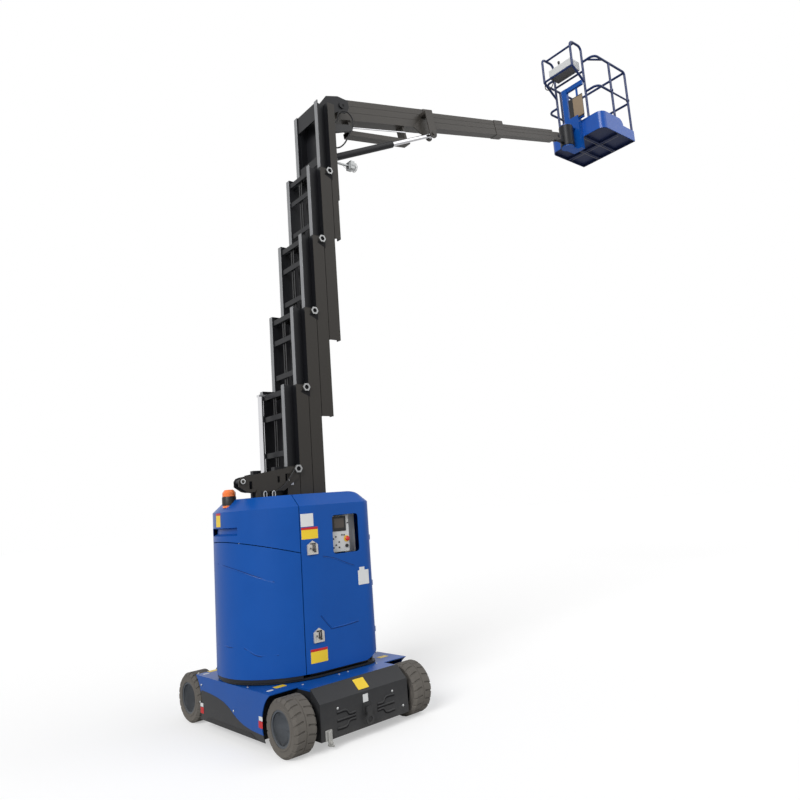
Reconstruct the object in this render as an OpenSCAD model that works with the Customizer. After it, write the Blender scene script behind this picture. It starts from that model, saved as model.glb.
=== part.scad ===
// Self-propelled mast boom lift: four-wheel chassis, slewing turret, six-section
// interlocking mast, telescopic boom and a rotating basket.
// X points along the boom, Z up, origin on the ground under the slew axis.

/* [Chassis] */
// Turn of the chassis against the boom, degrees
chassis_yaw = 3; // [0:0.5:8]
// Overhang of the side covers beyond the tyre faces
side_over = 7; // [2:0.5:12]
// Length of the deck plate along the travel
deck_l = 1194; // [1150:1:1210]
// Height of the deck's top above the ground
deck_z = 396; // [394:1:402]
// Thickness of the deck plate
deck_t = 12; // [8:1:14]
// Ground clearance under the chassis
ground_gap = 72; // [60:1:90]
// Gap between the driven tyres and the block between them
core_gap = 45; // [30:1:70]
// Gap between the steered tyres and the block between them
steer_core_gap = 125; // [115:1:150]
// Length over both end covers
chassis_l = 1714; // [1690:1:1740]
// Thickness of the chassis cover plates
cover_t = 6; // [4:1:8]
// Radius of the towing link's hole
tow_bore_r = 20; // [14:0.5:24]
// Radius of the wheel arches at the driven end
arch_r = 226; // [215:1:235]
// Radius of the wheel arches at the steered end
steer_arch_r = 262; // [255:1:270]

/* [Wheels] */
// Distance between the axles
wheelbase = 1408; // [1390:1:1420]
// Width over the outer tyre faces
track_out = 1220; // [1210:1:1240]
// Outer radius of the solid tyre
tyre_r = 193; // [188:1:196]
// Width of the tyre
tyre_w = 175; // [165:1:180]
// Outer radius of the rim, inside the tyre
rim_r = 122; // [116:1:126]
// Radius of the axle stubs
stub_r = 20; // [16:1:24]

/* [Turret] */
// Radius of the round tail
tail_r = 551; // [540:1:560]
// Distance of the tail's centre behind the slew axis
tail_x = 85; // [75:1:95]
// Distance of the pods' front faces ahead of the slew axis
front_x = 432; // [420:1:445]
// Corner radius of the pods in plan
corner_r = 120; // [100:1:130]
// Height of the cowl's lower edge
cowl_z0 = 440; // [435:1:450]
// Height where the upright wall turns into the bevel
cowl_z1 = 1650; // [1630:1:1660]
// Height of the cowl's top
cowl_z2 = 1742; // [1730:1:1750]
// Width of the bevel in plan
bevel_w = 100; // [80:1:110]
// Thickness of the cowl's skin
skin_t = 5; // [4:0.5:6]
// Radius of the rounding at the front top edge in side view
brow_r = 180; // [140:1:200]
// Half width of the open slot for the mast
slot_y = 250; // [245:1:255]
// Position of the seam between tail and side doors
seam_x = 236; // [230:1:245]
// Gap at the seams of the cowl
seam_gap = 6; // [5:0.5:8]
// Outer radius of the slew ring
ring_r = 280; // [260:1:284]

/* [Mast] */
// Rear face of the fixed section behind the slew axis
mast_x = 258; // [255:1:262]
// Forward offset from one section to the next
mast_step = 118; // [117:0.5:119]
// Height from one section's top to the next in the photographed pose
mast_rise = 676; // [650:1:690]
// Height of the fixed section's top
mast_top = 1974; // [1960:1:1990]
// Length of the moving sections
mast_l = 1614; // [1590:1:1620]
// Length of the head section
head_l = 1340; // [1300:1:1380]
// Half width over the rear flanges
flange_y = 213; // [212:0.5:215]
// Width of the rear flange with its web
flange_w = 53; // [50:1:54]
// Thickness of the rail walls
rail_t = 8; // [6:0.5:8]
// Depth of a rail from rear flange to front lip
rail_depth = 216; // [215:0.5:216]
// Depth of the head section's rail
head_depth = 178; // [170:1:185]

/* [Boom] */
// Angle of the boom in the photographed pose, degrees
boom_angle = 13.25; // [10:0.25:16]
// Pivot ahead of the slew axis
pivot_x = 641; // [636:1:646]
// Pivot above the head section's top
pivot_up = 68; // [60:1:75]
// Height of the base beam above the pivot
base_top = 120; // [115:1:125]
// Depth of the base beam
base_h = 210; // [208:1:214]
// Half width of the base beam
base_y = 66; // [65:0.5:68]
// End of the base beam from the pivot
base_u = 1330; // [1310:1:1350]
// End of the middle beam from the pivot
mid_u = 2520; // [2480:1:2560]
// End of the tip beam from the pivot
tip_u = 3520; // [3480:1:3560]
// Distance of the levelling hinge from the pivot
level_u = 3660; // [3640:1:3680]
// Radius of the boom's main pin
pin_r = 30; // [25:1:34]

/* [Basket] */
// Length of the basket along the boom
basket_l = 751; // [700:1:800]
// Width of the basket
basket_w = 895; // [860:1:940]
// Distance of the basket's rear face from the rotator's axis
basket_gap = 219; // [205:1:230]
// Height of the top rail above the floor's underside
rail_h = 1066; // [1040:1:1120]
// Height of the middle rail above the floor's underside
mid_rail_h = 625; // [560:1:680]
// Height of the kick wall
kick_h = 245; // [200:1:260]
// Radius of the rail tube
tube_r = 16.5; // [14:0.5:18]
// Radius of the bends of the hoops
bend_r = 65; // [50:1:75]
// Radius of the top rail's bends at the front corners
corner_bend = 45; // [38:1:46]
// Thickness of the walking plate on the floor
mat_t = 3; // [2:0.5:5]

/* [Hidden] */
$fn = 64;
eps = 0.01;
gap = 0.3;

chassis_w = track_out + 2 * side_over;
core_w = track_out - 2 * tyre_w - 2 * core_gap;
steer_core_w = track_out - 2 * tyre_w - 2 * steer_core_gap;

// Fixed heights derived from the sizes above
hub_z = tyre_r;
wheel_x = track_out / 2 - tyre_w / 2;
wheel_y = wheelbase / 2;
plate_z = deck_z + 6;
plate_t = 14;
floor_z = plate_z + plate_t;
ring_top = plate_z - gap;

// Rail section: web position, front channel and lip
web_y = flange_y - flange_w;
mid_x = mast_step - rail_t - 7;
outer_y = flange_y + 7;
lip_y = web_y + rail_t + 6;

// Boom pivot and the local frame that follows the boom
head_z = mast_top + 5 * mast_rise;
pivot_z = head_z + pivot_up;
function boom_pt(u, w) = [pivot_x + u * cos(boom_angle) - w * sin(boom_angle),
                          pivot_z + u * sin(boom_angle) + w * cos(boom_angle)];
level_p = boom_pt(level_u, 0);

// Luffing cylinder: foot on the mast head, eye under the base beam's collar
cyl_y = -106;
foot_x = 500;
foot_z = head_z - 497;
eye_u = 1165;
eye_w = -194;
eye_p = boom_pt(eye_u, eye_w);
cyl_dx = eye_p[0] - foot_x;
cyl_dz = eye_p[1] - foot_z;
cyl_len = sqrt(cyl_dx * cyl_dx + cyl_dz * cyl_dz);
cyl_angle = atan2(cyl_dz, cyl_dx);
barrel_r = 34;
rod_r = 22;
barrel_l = 858;

// Rotator and basket
rot_x = level_p[0] + 226;
rot_r = 95;
rot_z0 = level_p[1] - 92;
rot_z1 = level_p[1] + 220;
floor_bottom = level_p[1] + 84;
basket_x = rot_x + basket_gap;
wall_t = 5;
rail_in = tube_r + wall_t + gap;
front_r = 8;

// Colours
blue = [0.08, 0.22, 0.62];
dark = [0.16, 0.17, 0.19];
steel = [0.7, 0.71, 0.72];

// General helpers

module both_y() { children(); mirror([0, 1, 0]) children(); }
module both_x() { children(); mirror([1, 0, 0]) children(); }
module on_chassis() { rotate([0, 0, chassis_yaw]) children(); }

// Plate in the XZ plane, from y0 to y1
module plate_xz(y0, y1) {
    translate([0, y1, 0]) rotate([90, 0, 0]) linear_extrude(y1 - y0) children();
}

// Outline in the YZ plane extruded from x0 to x1
module plate_yz(x0, x1) {
    translate([x0, 0, 0]) rotate([90, 0, 90]) linear_extrude(x1 - x0) children();
}

module cyl_y_axis(r, y0, y1) {
    translate([0, y0, 0]) rotate([-90, 0, 0]) cylinder(r = r, h = y1 - y0);
}

module cyl_x_axis(r, x0, x1) {
    translate([x0, 0, 0]) rotate([0, 90, 0]) cylinder(r = r, h = x1 - x0);
}

module box(x0, x1, y0, y1, z0, z1) {
    translate([x0, y0, z0]) cube([x1 - x0, y1 - y0, z1 - z0]);
}

// Chassis

// Outline of the arches in the YZ plane, steered end at +Y
module arches_2d() {
    translate([wheel_y, hub_z]) circle(r = steer_arch_r);
    translate([-wheel_y, hub_z]) circle(r = arch_r);
}

// Wheel wells beside the cores, clear of the middle of the chassis
module wheel_wells() {
    both_x() {
        plate_yz(core_w / 2, chassis_w) translate([-wheel_y, hub_z]) circle(r = arch_r);
        plate_yz(steer_core_w / 2, chassis_w) translate([wheel_y, hub_z]) circle(r = steer_arch_r);
    }
}

core_y = wheel_y - steer_arch_r - 4;
core_top = deck_z - deck_t;

module chassis_frame() color(dark) on_chassis() {
    difference() {
        union() {
            box(-core_w / 2, core_w / 2, -core_y, core_y, ground_gap, core_top);
            box(-core_w / 2, core_w / 2, -chassis_l / 2 + 112, -core_y, ground_gap + 10, core_top);
            box(-steer_core_w / 2, steer_core_w / 2, core_y, chassis_l / 2 - 112, ground_gap + 10, core_top);
            box(-chassis_w / 2 + cover_t, chassis_w / 2 - cover_t, -core_y, core_y, ground_gap, ground_gap + 12);
            for (y = [-core_y, -8, core_y - 16])
                box(-chassis_w / 2 + cover_t, chassis_w / 2 - cover_t, y, y + 16, ground_gap, core_top);
        }
        translate([0, 0, ring_top - 40]) cylinder(r = ring_r + 6, h = 60);
    }
}

module deck_plate() color(blue) on_chassis() {
    difference() {
        union() {
            box(-chassis_w / 2, chassis_w / 2, -deck_l / 2, deck_l / 2, core_top, deck_z);
            box(-core_w / 2, core_w / 2, -chassis_l / 2 + 110, -deck_l / 2 + eps, core_top, deck_z);
            box(-steer_core_w / 2, steer_core_w / 2, deck_l / 2 - eps, chassis_l / 2 - 110, core_top, deck_z);
            both_x() plate_yz(chassis_w / 2 - cover_t, chassis_w / 2) skirt_2d();
        }
        cylinder(r = ring_r + 6, h = deck_z + 10);
        wheel_wells();
    }
}

// Blue upper part of the side, above the slanting colour line
module skirt_2d() {
    difference() {
        polygon([[-deck_l / 2, core_top + eps], [deck_l / 2, core_top + eps],
                 [deck_l / 2, 285], [-deck_l / 2, ground_gap + 30]]);
        arches_2d();
    }
}

module side_covers() color(dark) on_chassis() {
    both_x() plate_yz(chassis_w / 2 - cover_t, chassis_w / 2 - 1) difference() {
        polygon([[-deck_l / 2, ground_gap], [deck_l / 2, ground_gap],
                 [deck_l / 2, 284], [-deck_l / 2, ground_gap + 29]]);
        arches_2d();
    }
}

// Outline of an end cover in the YZ plane: chamfered top edge, upright face
module end_2d(d) {
    y0 = chassis_l / 2 - 110;
    y1 = chassis_l / 2 - d;
    polygon([[y0, ground_gap + d], [y1, ground_gap + d], [y1, 313],
             [y0 + 4 - d, deck_z + 4 - d], [y0, deck_z + 4 - d]]);
}

module end_covers() color(dark) on_chassis() {
    mirror([0, 1, 0]) difference() {
        plate_yz(-core_w / 2, core_w / 2) end_2d(0);
        plate_yz(-core_w / 2 + cover_t, core_w / 2 - cover_t)
            translate([-cover_t, 0]) end_2d(cover_t);
    }
    difference() {
        plate_yz(-steer_core_w / 2, steer_core_w / 2) end_2d(0);
        plate_yz(-steer_core_w / 2 + cover_t, steer_core_w / 2 - cover_t)
            translate([-cover_t, 0]) end_2d(cover_t);
    }
}

// Towing link: a flat eye that hangs from a lug on the driven end's cover
eye_out = 34;

module tow_ring() color(dark) on_chassis() {
    translate([0, -chassis_l / 2, 0]) {
        box(-30, 30, -8, 0, 165, 235);
        box(-9, 9, -eye_out + 7, -8 + eps, 176, 204);
        difference() {
            plate_xz(-eye_out - 7, -eye_out + 7 + eps) {
                translate([0, 190]) circle(r = 26);
                translate([0, 130]) circle(r = 34);
                translate([-20, 130]) square([40, 60]);
            }
            translate([0, 0, 130]) cyl_y_axis(tow_bore_r, -eye_out - 20, -eye_out + 20);
        }
    }
}

module slew_ring() color(steel) on_chassis() {
    translate([0, 0, ring_top - 40]) difference() {
        cylinder(r = ring_r, h = 40);
        translate([0, 0, -1]) cylinder(r = ring_r - 80, h = 42);
    }
}

// Wheels

disc_x = 10;
disc_t = 12;

// Half outline of the tyre, revolved about the axle
module tyre(side) {
    rotate([0, 90, 0]) rotate_extrude($fn = 96) difference() {
        translate([rim_r, -tyre_w / 2]) square([tyre_r - rim_r, tyre_w]);
        for (s = [-1, 1]) translate([tyre_r, s * tyre_w / 2]) rotate(45) square(26, center = true);
    }
}

// Deep dish rim: barrel, disc and hub with a bore for the stub
module rim() {
    rotate([0, 90, 0]) difference() {
        union() {
            difference() {
                translate([0, 0, -tyre_w / 2 + 6]) cylinder(r = rim_r, h = tyre_w - 12);
                translate([0, 0, -tyre_w / 2]) cylinder(r = rim_r - 14, h = tyre_w);
            }
            translate([0, 0, disc_x]) cylinder(r = rim_r - 13, h = disc_t);
            translate([0, 0, disc_x]) cylinder(r = 52, h = 34);
            for (a = [0:72:359]) rotate(a) translate([72, 0, disc_x + disc_t - eps]) cylinder(r = 11, h = 12);
        }
        translate([0, 0, -tyre_w]) cylinder(r = stub_r + 0.05, h = tyre_w + disc_x + 29);
    }
}

module at_wheel(sx, sy) {
    on_chassis() translate([sx * wheel_x, sy * wheel_y, hub_z])
        rotate([0, 0, sx > 0 ? 0 : 180]) children();
}

module wheel_tyre(sx, sy) color([0.27, 0.26, 0.25]) at_wheel(sx, sy) tyre();
module wheel_rim(sx, sy) color([0.35, 0.36, 0.38]) at_wheel(sx, sy) rim();

// Hub motor of a driven wheel: body flange on the frame and stub in the rim
module drive_motors() color(dark) {
    for (s = [-1, 1]) at_wheel(s, -1) {
        cyl_x_axis(78, core_w / 2 - wheel_x, disc_x - 0.5);
        cyl_x_axis(stub_r, disc_x - 1, disc_x + 28);
    }
}

// Steered wheels: yokes on the frame and knuckles with kingpins, set in from the wheel's middle
king_in = 67.5;
king_x = wheel_x - king_in;
yoke_z = 54;
yoke_t = 14;

module steer_axle() color(dark) {
    for (s = [-1, 1]) at_wheel(s, 1) translate([king_x - wheel_x, 0, 0]) for (m = [0, 1]) mirror([0, 0, m])
        difference() {
            union() {
                box(steer_core_w / 2 - king_x, 0, -26, 26, yoke_z, yoke_z + yoke_t);
                translate([0, 0, yoke_z]) cylinder(r = 26, h = yoke_t);
            }
            translate([0, 0, yoke_z - 1]) cylinder(r = 12.05, h = yoke_t + 2);
        }
}

module knuckle(s) color(dark) at_wheel(s, 1) {
    translate([king_x - wheel_x, 0, 0]) {
        translate([0, 0, -yoke_z - yoke_t - 4]) cylinder(r = 12, h = 2 * (yoke_z + yoke_t + 4));
        translate([0, 0, -yoke_z + gap]) cylinder(r = 24, h = 2 * (yoke_z - gap));
        box(0, 40, -24, 24, -40, 40);
    }
    cyl_x_axis(40, king_x - wheel_x + 36, disc_x - 0.5);
    cyl_x_axis(stub_r, disc_x - 1, disc_x + 28);
}

// Turret

// Plan outline of the cowl, drawn inwards by d
module cowl_2d(d) {
    r = corner_r - d;
    translate([-tail_x, 0]) circle(r = tail_r - d, $fn = 128);
    for (s = [-1, 1]) translate([front_x - corner_r, s * (tail_r - corner_r)]) circle(r = max(r, 1));
    translate([-tail_x, -(tail_r - d)]) square([front_x - corner_r + tail_x, 2 * (tail_r - d)]);
    translate([-tail_x, -(tail_r - corner_r)]) square([front_x - d + tail_x, 2 * (tail_r - corner_r)]);
}

// Bevelled top between two heights, drawn inwards by d
module cowl_bevel(d) {
    h = cowl_z2 - cowl_z1;
    r0 = tail_r - d;
    r1 = tail_r - d - bevel_w;
    xf = front_x - corner_r;
    yc = tail_r - corner_r;
    translate([0, 0, cowl_z1 - d]) {
        translate([-tail_x, 0, 0]) cylinder(r1 = r0, r2 = r1, h = h, $fn = 128);
        for (s = [-1, 1]) translate([xf, s * yc, 0])
            cylinder(r1 = corner_r - d, r2 = corner_r - d - bevel_w, h = h);
        plate_yz(-tail_x, xf) polygon([[-r0, 0], [r0, 0], [r1, h], [-r1, h]]);
        plate_xz(-yc, yc) polygon([[-tail_x, 0], [front_x - d, 0], [front_x - d - bevel_w, h], [-tail_x, h]]);
    }
}

// Side view limits of the cowl: rounded brow and chamfered lower front edge
module cowl_side(d) {
    plate_xz(-800, 800) {
        x1 = front_x - d;
        z1 = cowl_z2 - d;
        translate([-900, cowl_z0 - 1]) square([900 + x1 - brow_r, z1 + 60 - cowl_z0]);
        translate([-900, cowl_z0 + 60]) square([900 + x1, z1 - brow_r - cowl_z0 - 60]);
        translate([x1 - brow_r, z1 - brow_r]) circle(r = brow_r, $fn = 96);
        polygon([[0, cowl_z0 - 1], [x1 - 150, cowl_z0 - 1], [x1, cowl_z0 + 60], [0, cowl_z0 + 60]]);
    }
}

module cowl(d) {
    intersection() {
        union() {
            translate([0, 0, cowl_z0 - 1]) linear_extrude(cowl_z1 - d - cowl_z0 + 1) cowl_2d(d);
            cowl_bevel(d);
        }
        cowl_side(d);
        box(-900, 900, -800, 800, cowl_z0, cowl_z2 + 60);
    }
}

module cowl_shell() {
    difference() {
        cowl(0);
        difference() {
            cowl(skin_t);
            box(-900, 900, -800, 800, cowl_z0 - 20, cowl_z0 - 10);
        }
        translate([0, 0, cowl_z0 - 1]) linear_extrude(60) cowl_2d(skin_t);
    }
}

door_y = tail_r - corner_r;

// Half space behind the seam that rises towards the tail, for cap or hood
module seam_2d(up) {
    z0 = 1306;
    rise = 136;
    x1 = -tail_x - tail_r;
    a = up ? cowl_z2 + 100 : cowl_z0 - 50;
    d = up ? seam_gap / 2 : -seam_gap / 2;
    polygon([[-seam_x - seam_gap / 2, z0 + d], [-seam_x - seam_gap / 2, a], [x1 - 50, a], [x1 - 50, z0 + rise + d]]);
}

module tail_hood() color(blue) intersection() {
    cowl_shell();
    plate_xz(-800, 800) seam_2d(false);
}

module tail_cap() color(blue) difference() {
    intersection() {
        cowl_shell();
        plate_xz(-800, 800) seam_2d(true);
    }
    box(-900, -tail_x - tail_r + 60, -slot_y + 30, slot_y - 30, 1470, 1530);
    box(-340, 0, -slot_y, slot_y, cowl_z2 - 60, cowl_z2 + 100);
}

module pod_frames() color(blue) both_y() {
    intersection() {
        cowl_shell();
        box(-seam_x + seam_gap / 2, 900, slot_y, door_y - seam_gap, 0, 3000);
    }
    intersection() {
        cowl(skin_t);
        box(-seam_x + seam_gap / 2, 900, slot_y, slot_y + skin_t, cowl_z0, 3000);
    }
    box(-seam_x + 20, front_x - 40, slot_y, slot_y + skin_t, floor_z, cowl_z0 + 40);
    mirror([0, 1, 0]) hinge_leaf(false);
}

module side_door() {
    intersection() {
        cowl_shell();
        box(-seam_x + seam_gap / 2, 900, -900, -door_y, 0, 3000);
    }
    hinge_leaf(true);
}

// Butt hinges on the front faces: three knuckles to a door
hinge_x = front_x + 8;
hinge_y = door_y - seam_gap / 2;
hinge_z = [620, 980, 1340];

module hinge_leaf(on_door) {
    for (z = hinge_z) translate([hinge_x, -hinge_y, z]) {
        if (on_door) difference() {
            union() {
                cylinder(r = 7, h = 40);
                box(front_x - hinge_x - eps, 0, -38, 0, 0, 40);
            }
            translate([0, 0, -1]) cylinder(r = 3.55, h = 50);
            translate([-9, 0, -1]) cube([9, 10, 50]);
        }
        else {
            translate([0, 0, -24]) cylinder(r = 7, h = 24 - gap);
            translate([0, 0, 40 + gap]) cylinder(r = 7, h = 24 - gap);
            translate([0, 0, -20]) cylinder(r = 3.5, h = 80);
            for (h = [-24, 40 + gap]) box(front_x - hinge_x - eps, 0, seam_gap / 2, 34, h, h + 24 - gap);
        }
    }
}

panel_x0 = 35;
panel_x1 = 275;
panel_z0 = 1268;
panel_z1 = 1562;

// Upright rectangle with rounded corners
module rounded_2d(x0, x1, z0, z1, r) {
    translate([x0 + r, z0]) square([x1 - x0 - 2 * r, z1 - z0]);
    translate([x0, z0 + r]) square([x1 - x0, z1 - z0 - 2 * r]);
    for (x = [x0 + r, x1 - r], z = [z0 + r, z1 - r]) translate([x, z]) circle(r = r);
}

module door_near() color(blue) difference() {
    side_door();
    plate_xz(-900, -door_y - 40) rounded_2d(panel_x0, panel_x1, panel_z0, panel_z1, 26);
}

// Paddle latches of a door: five-sided dishes on the skin
module latches(s) color(steel) mirror([0, s > 0 ? 1 : 0, 0])
    for (p = [[-147, 1335], [-130, 700]]) difference() {
        plate_xz(-tail_r - 6, -tail_r + 20) translate(p)
            polygon([[-43, -50], [43, -50], [43, 22], [0, 52], [-43, 22]]);
        translate([-tail_x, 0, 0]) cylinder(r = tail_r + gap, h = 2000, $fn = 360);
        box(-tail_x, 0, -tail_r - gap, 0, 0, 2000);
        plate_xz(-tail_r - 10, -tail_r - 3) translate(p)
            polygon([[-32, -40], [32, -40], [32, -8], [-32, -8]]);
    }

module door_far() color(blue) mirror([0, 1, 0]) side_door();

module ground_control() color([0.85, 0.86, 0.86]) {
    box(panel_x0 + 8, panel_x0 + 178, -505, -440, panel_z0 + 8, panel_z1 - 8);
    box(panel_x0 + 20, panel_x0 + 160, -440 - eps, -slot_y - skin_t, 1380, 1400);
}

// Turntable plate with a low wall that carries the cowl and clears the doors
module turntable() color(dark) {
    translate([0, 0, plate_z]) linear_extrude(plate_t) cowl_2d(14);
    translate([0, 0, floor_z - eps]) linear_extrude(50) difference() {
        cowl_2d(skin_t + gap);
        cowl_2d(skin_t + 18);
        for (s = [-1, 1]) translate([-seam_x - 20, s > 0 ? door_y - 12 : -900])
            square([900, 900 - door_y + 12]);
        translate([0, -slot_y - 12]) square([900, 2 * slot_y + 24]);
    }
}

module counterweight() color(dark) {
    intersection() {
        translate([-tail_x, 0, floor_z]) cylinder(r = tail_r - skin_t - gap, h = 620, $fn = 128);
        box(-900, -mast_x - 20, -900, 900, floor_z + 60, floor_z + 620);
    }
}

module battery_packs() color([0.2, 0.2, 0.22]) both_y()
    box(-180, 330, slot_y + skin_t + 6, door_y + 60, floor_z, floor_z + 330);

// Bracket behind the mast's foot that reaches over the tail cap
brace_t = 10;
brace_y = outer_y + rail_t + gap + brace_t / 2;

brace_in = 150;

module brace_plate(y) {
    translate([0, y - brace_t / 2, 0]) plate_xz(0, brace_t) children();
}

module mast_brace() color(dark) {
    brace_plate(-brace_y) difference() {
        polygon([[-572, 1832], [-572, 1872], [-557, 1896], [-529, 1905], [-117, 1970], [-60, 1960],
                 [-60, 1880], [-190, 1785], [-480, 1785], [-515, 1793]]);
        translate([-474, 1838]) square([26, 60], center = true);
        translate([-237, 1874]) square([22, 50], center = true);
        translate([-158, 1888]) square([40, 56], center = true);
    }
    brace_plate(brace_y) polygon([[-300, 1800], [-300, 1941], [-117, 1970], [-60, 1960], [-60, 1880], [-190, 1785]]);
    brace_plate(-brace_in) polygon([[-572, 1832], [-572, 1872], [-557, 1896], [-529, 1905], [-400, 1925],
                                    [-400, 1785], [-480, 1785], [-515, 1793]]);
    box(-410, -400, -brace_y, -brace_in, 1785, 1924);
    translate([-545, 0, 1868]) cyl_y_axis(20, -brace_y - 22, -brace_in + 22);
    for (y = [-brace_y, -brace_in]) box(-430, -400, y - 15, y + 15, cowl_z2 + gap, 1800);
}

module beacon() color([1, 0.45, 0.05]) difference() {
    union() {
        translate([-560, -30, cowl_z2 - 60]) cylinder(r = 50, h = 118);
        translate([-560, -30, cowl_z2 + 58 - eps]) cylinder(r1 = 50, r2 = 34, h = 20);
    }
    cowl(-gap);
}

// Mast

module rail_2d(depth) {
    // rear flange, inner web, middle flange, outer web and front lip of one rail
    translate([0, web_y]) square([rail_t, flange_w]);
    translate([0, web_y]) square([mast_step - 7, rail_t]);
    translate([mid_x, web_y]) square([rail_t, outer_y + rail_t - web_y]);
    translate([mid_x, outer_y]) square([depth - mid_x, rail_t]);
    translate([depth - rail_t, lip_y]) square([rail_t, outer_y + rail_t - lip_y]);
}

function sec_x(n) = -mast_x + (n - 1) * mast_step;
function sec_top(n) = mast_top + (n - 1) * mast_rise;
function sec_bottom(n) = n == 1 ? floor_z : sec_top(n) - (n == 6 ? head_l : mast_l);

sheave_x = 61;
sheave_dz = -70;
notch_d = 14;
notch_z = head_z - 957;

module mast_section(n) {
    z0 = sec_bottom(n);
    z1 = sec_top(n);
    translate([sec_x(n), 0, 0]) {
        both_y() translate([0, 0, z0]) linear_extrude(z1 - z0) rail_2d(n == 6 ? head_depth - notch_d : rail_depth);
        if (n == 6) both_y() translate([0, 0, notch_z]) linear_extrude(z1 - notch_z) {
            translate([head_depth - notch_d - eps, outer_y]) square([notch_d + eps, rail_t]);
            translate([head_depth - rail_t, lip_y]) square([rail_t, outer_y + rail_t - lip_y]);
        }
        if (n > 1) both_y() for (z = [z0 + 4, z0 + 500]) {
            box(0, rail_t, flange_y - eps, outer_y - gap, z, z + 90);
            box(rail_t - eps, rail_t + 12, flange_y - 30, flange_y - 4, z, z + 90);
        }
        if (n < 6) {
            for (z = [z1 - 60, z1 - 250, z1 - 560]) box(8, 16, -web_y - eps, web_y + eps, z - 22, z + 22);
            box(8, mast_step - 12, -web_y - eps, web_y + eps, z0 + (n == 1 ? 0 : 60), z0 + (n == 1 ? 12 : 74));
            translate([sheave_x, 0, z1 + sheave_dz]) cyl_y_axis(10, -web_y - eps, n == 1 ? 50 : web_y + eps);
        }
        if (n == 6) {
            box(8, 18, -web_y - eps, web_y + eps, z1 - 170, z1 - 6);
            box(8, 16, -web_y - eps, web_y + eps, z1 - 620, z1 - 540);
            box(8, mast_step - 12, -web_y - eps, web_y + eps, z0 + 60, z0 + 74);
            box(90, 104, -web_y - eps, web_y + eps, z1 - 700, z1 - 8);
        }
    }
}

// Cheek plates and pins of the mast head
cheek_t = 12;
cheek_y = web_y - cheek_t;

module head_cheeks() {
    both_y() plate_xz(cheek_y, web_y) difference() {
        union() {
            polygon([[sec_x(6) + 30, head_z - 520], [sec_x(6) + 30, head_z - 40], [470, head_z + 112],
                     [600, head_z + 154], [pivot_x + 76, head_z + 146], [pivot_x + 88, pivot_z],
                     [head_depth + sec_x(6), head_z - 60], [head_depth + sec_x(6), head_z - 560]]);
            translate([pivot_x, pivot_z]) circle(r = 78);
        }
        translate([pivot_x + 30, pivot_z - 150]) circle(r = 84);
    }
    translate([pivot_x, 0, pivot_z]) cyl_y_axis(pin_r, -web_y - 12, web_y + 12);
    for (y = [cyl_y - 30, cyl_y + 22]) plate_xz(y, y + 8) difference() {
        union() {
            translate([foot_x, foot_z]) circle(r = 34);
            translate([sec_x(6) + 92, foot_z - 34]) square([foot_x - sec_x(6) - 92, 68]);
        }
    }
    translate([foot_x, 0, foot_z]) cyl_y_axis(14, cyl_y - 30, cyl_y + 30);
}

module mast_head() color(dark) {
    mast_section(6);
    head_cheeks();
}

// Twin leaf chains on the back of a section, their sheave and the adjuster nuts
module chain_set(n) color(steel) {
    z1 = sec_top(n);
    zb = sec_bottom(n) + (n == 1 ? 12 : 74);
    translate([sec_x(n), 0, 0]) {
        translate([sheave_x, 0, z1 + sheave_dz]) difference() {
            cyl_y_axis(30, -34, 34);
            cyl_y_axis(10.05, -40, 40);
        }
        both_y() for (x = [sheave_x - 37, sheave_x + 30]) box(x, x + 7, 8, 26, zb, z1 + sheave_dz);
        // the fixed section's nuts clamp the brace plates too
        y0 = outer_y + rail_t + (n == 1 ? brace_t + 2 * gap : 0);
        both_y() translate([195, 0, z1 - 22]) difference() {
            cyl_y_axis(35, y0, y0 + 16, $fn = 6);
            cyl_y_axis(19, y0 + 5, y0 + 17);
        }
    }
}

// Lift cylinder beside the chains of the fixed section
lift_barrel_l = mast_top - floor_z - 184;
lift_x = sec_x(1) + 64;
lift_y = 100;

module lift_barrel() color(dark) translate([lift_x, lift_y, 0]) difference() {
    translate([0, 0, floor_z + 12]) cylinder(r = 42, h = lift_barrel_l);
    translate([0, 0, floor_z + 30]) cylinder(r = 24.05, h = lift_barrel_l);
}

module lift_rod() color([0.85, 0.85, 0.87]) translate([lift_x, lift_y, 0]) {
    translate([0, 0, 1062]) cylinder(r = 24, h = sec_top(2) - 60 - 1062);
    box(-24, sec_x(2) + 8 - lift_x, -24, 24, sec_top(2) - 60, sec_top(2) - 44);
}

// Boom

// Puts children drawn in the boom's own frame at the pivot and turns them up
module at_boom() {
    translate([pivot_x, 0, pivot_z]) rotate([0, -boom_angle, 0]) children();
}

module beam(u0, u1, top, bottom, y, t) {
    difference() {
        box(u0, u1, -y, y, bottom, top);
        box(u0 - 1, u1 + 1, -y + t, y - t, bottom + t, top - t);
        for (k = [0.3, 0.62]) both_y() box(u0 - 1, u1 + 1, y - lap_d, y + 1, top - k * (top - bottom) - 3, top - k * (top - bottom) + 3);
    }
}

// Depth of the long fold lines in the beams' sides
lap_d = 1.5;
base_bot = base_top - base_h;
base_t = 6;
mid_t = 5;
mid_y = base_y - base_t - 6;
mid_top = base_top - base_t - 16;
mid_bot = base_bot + base_t + 6;
tip_y = mid_y - mid_t - 6;
tip_top = mid_top - mid_t - 22;
tip_bot = mid_bot + mid_t + 6;

tray_u0 = 105;
tray_l = 790;
tray_w = -209;
tray_slope = 3.2;

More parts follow.
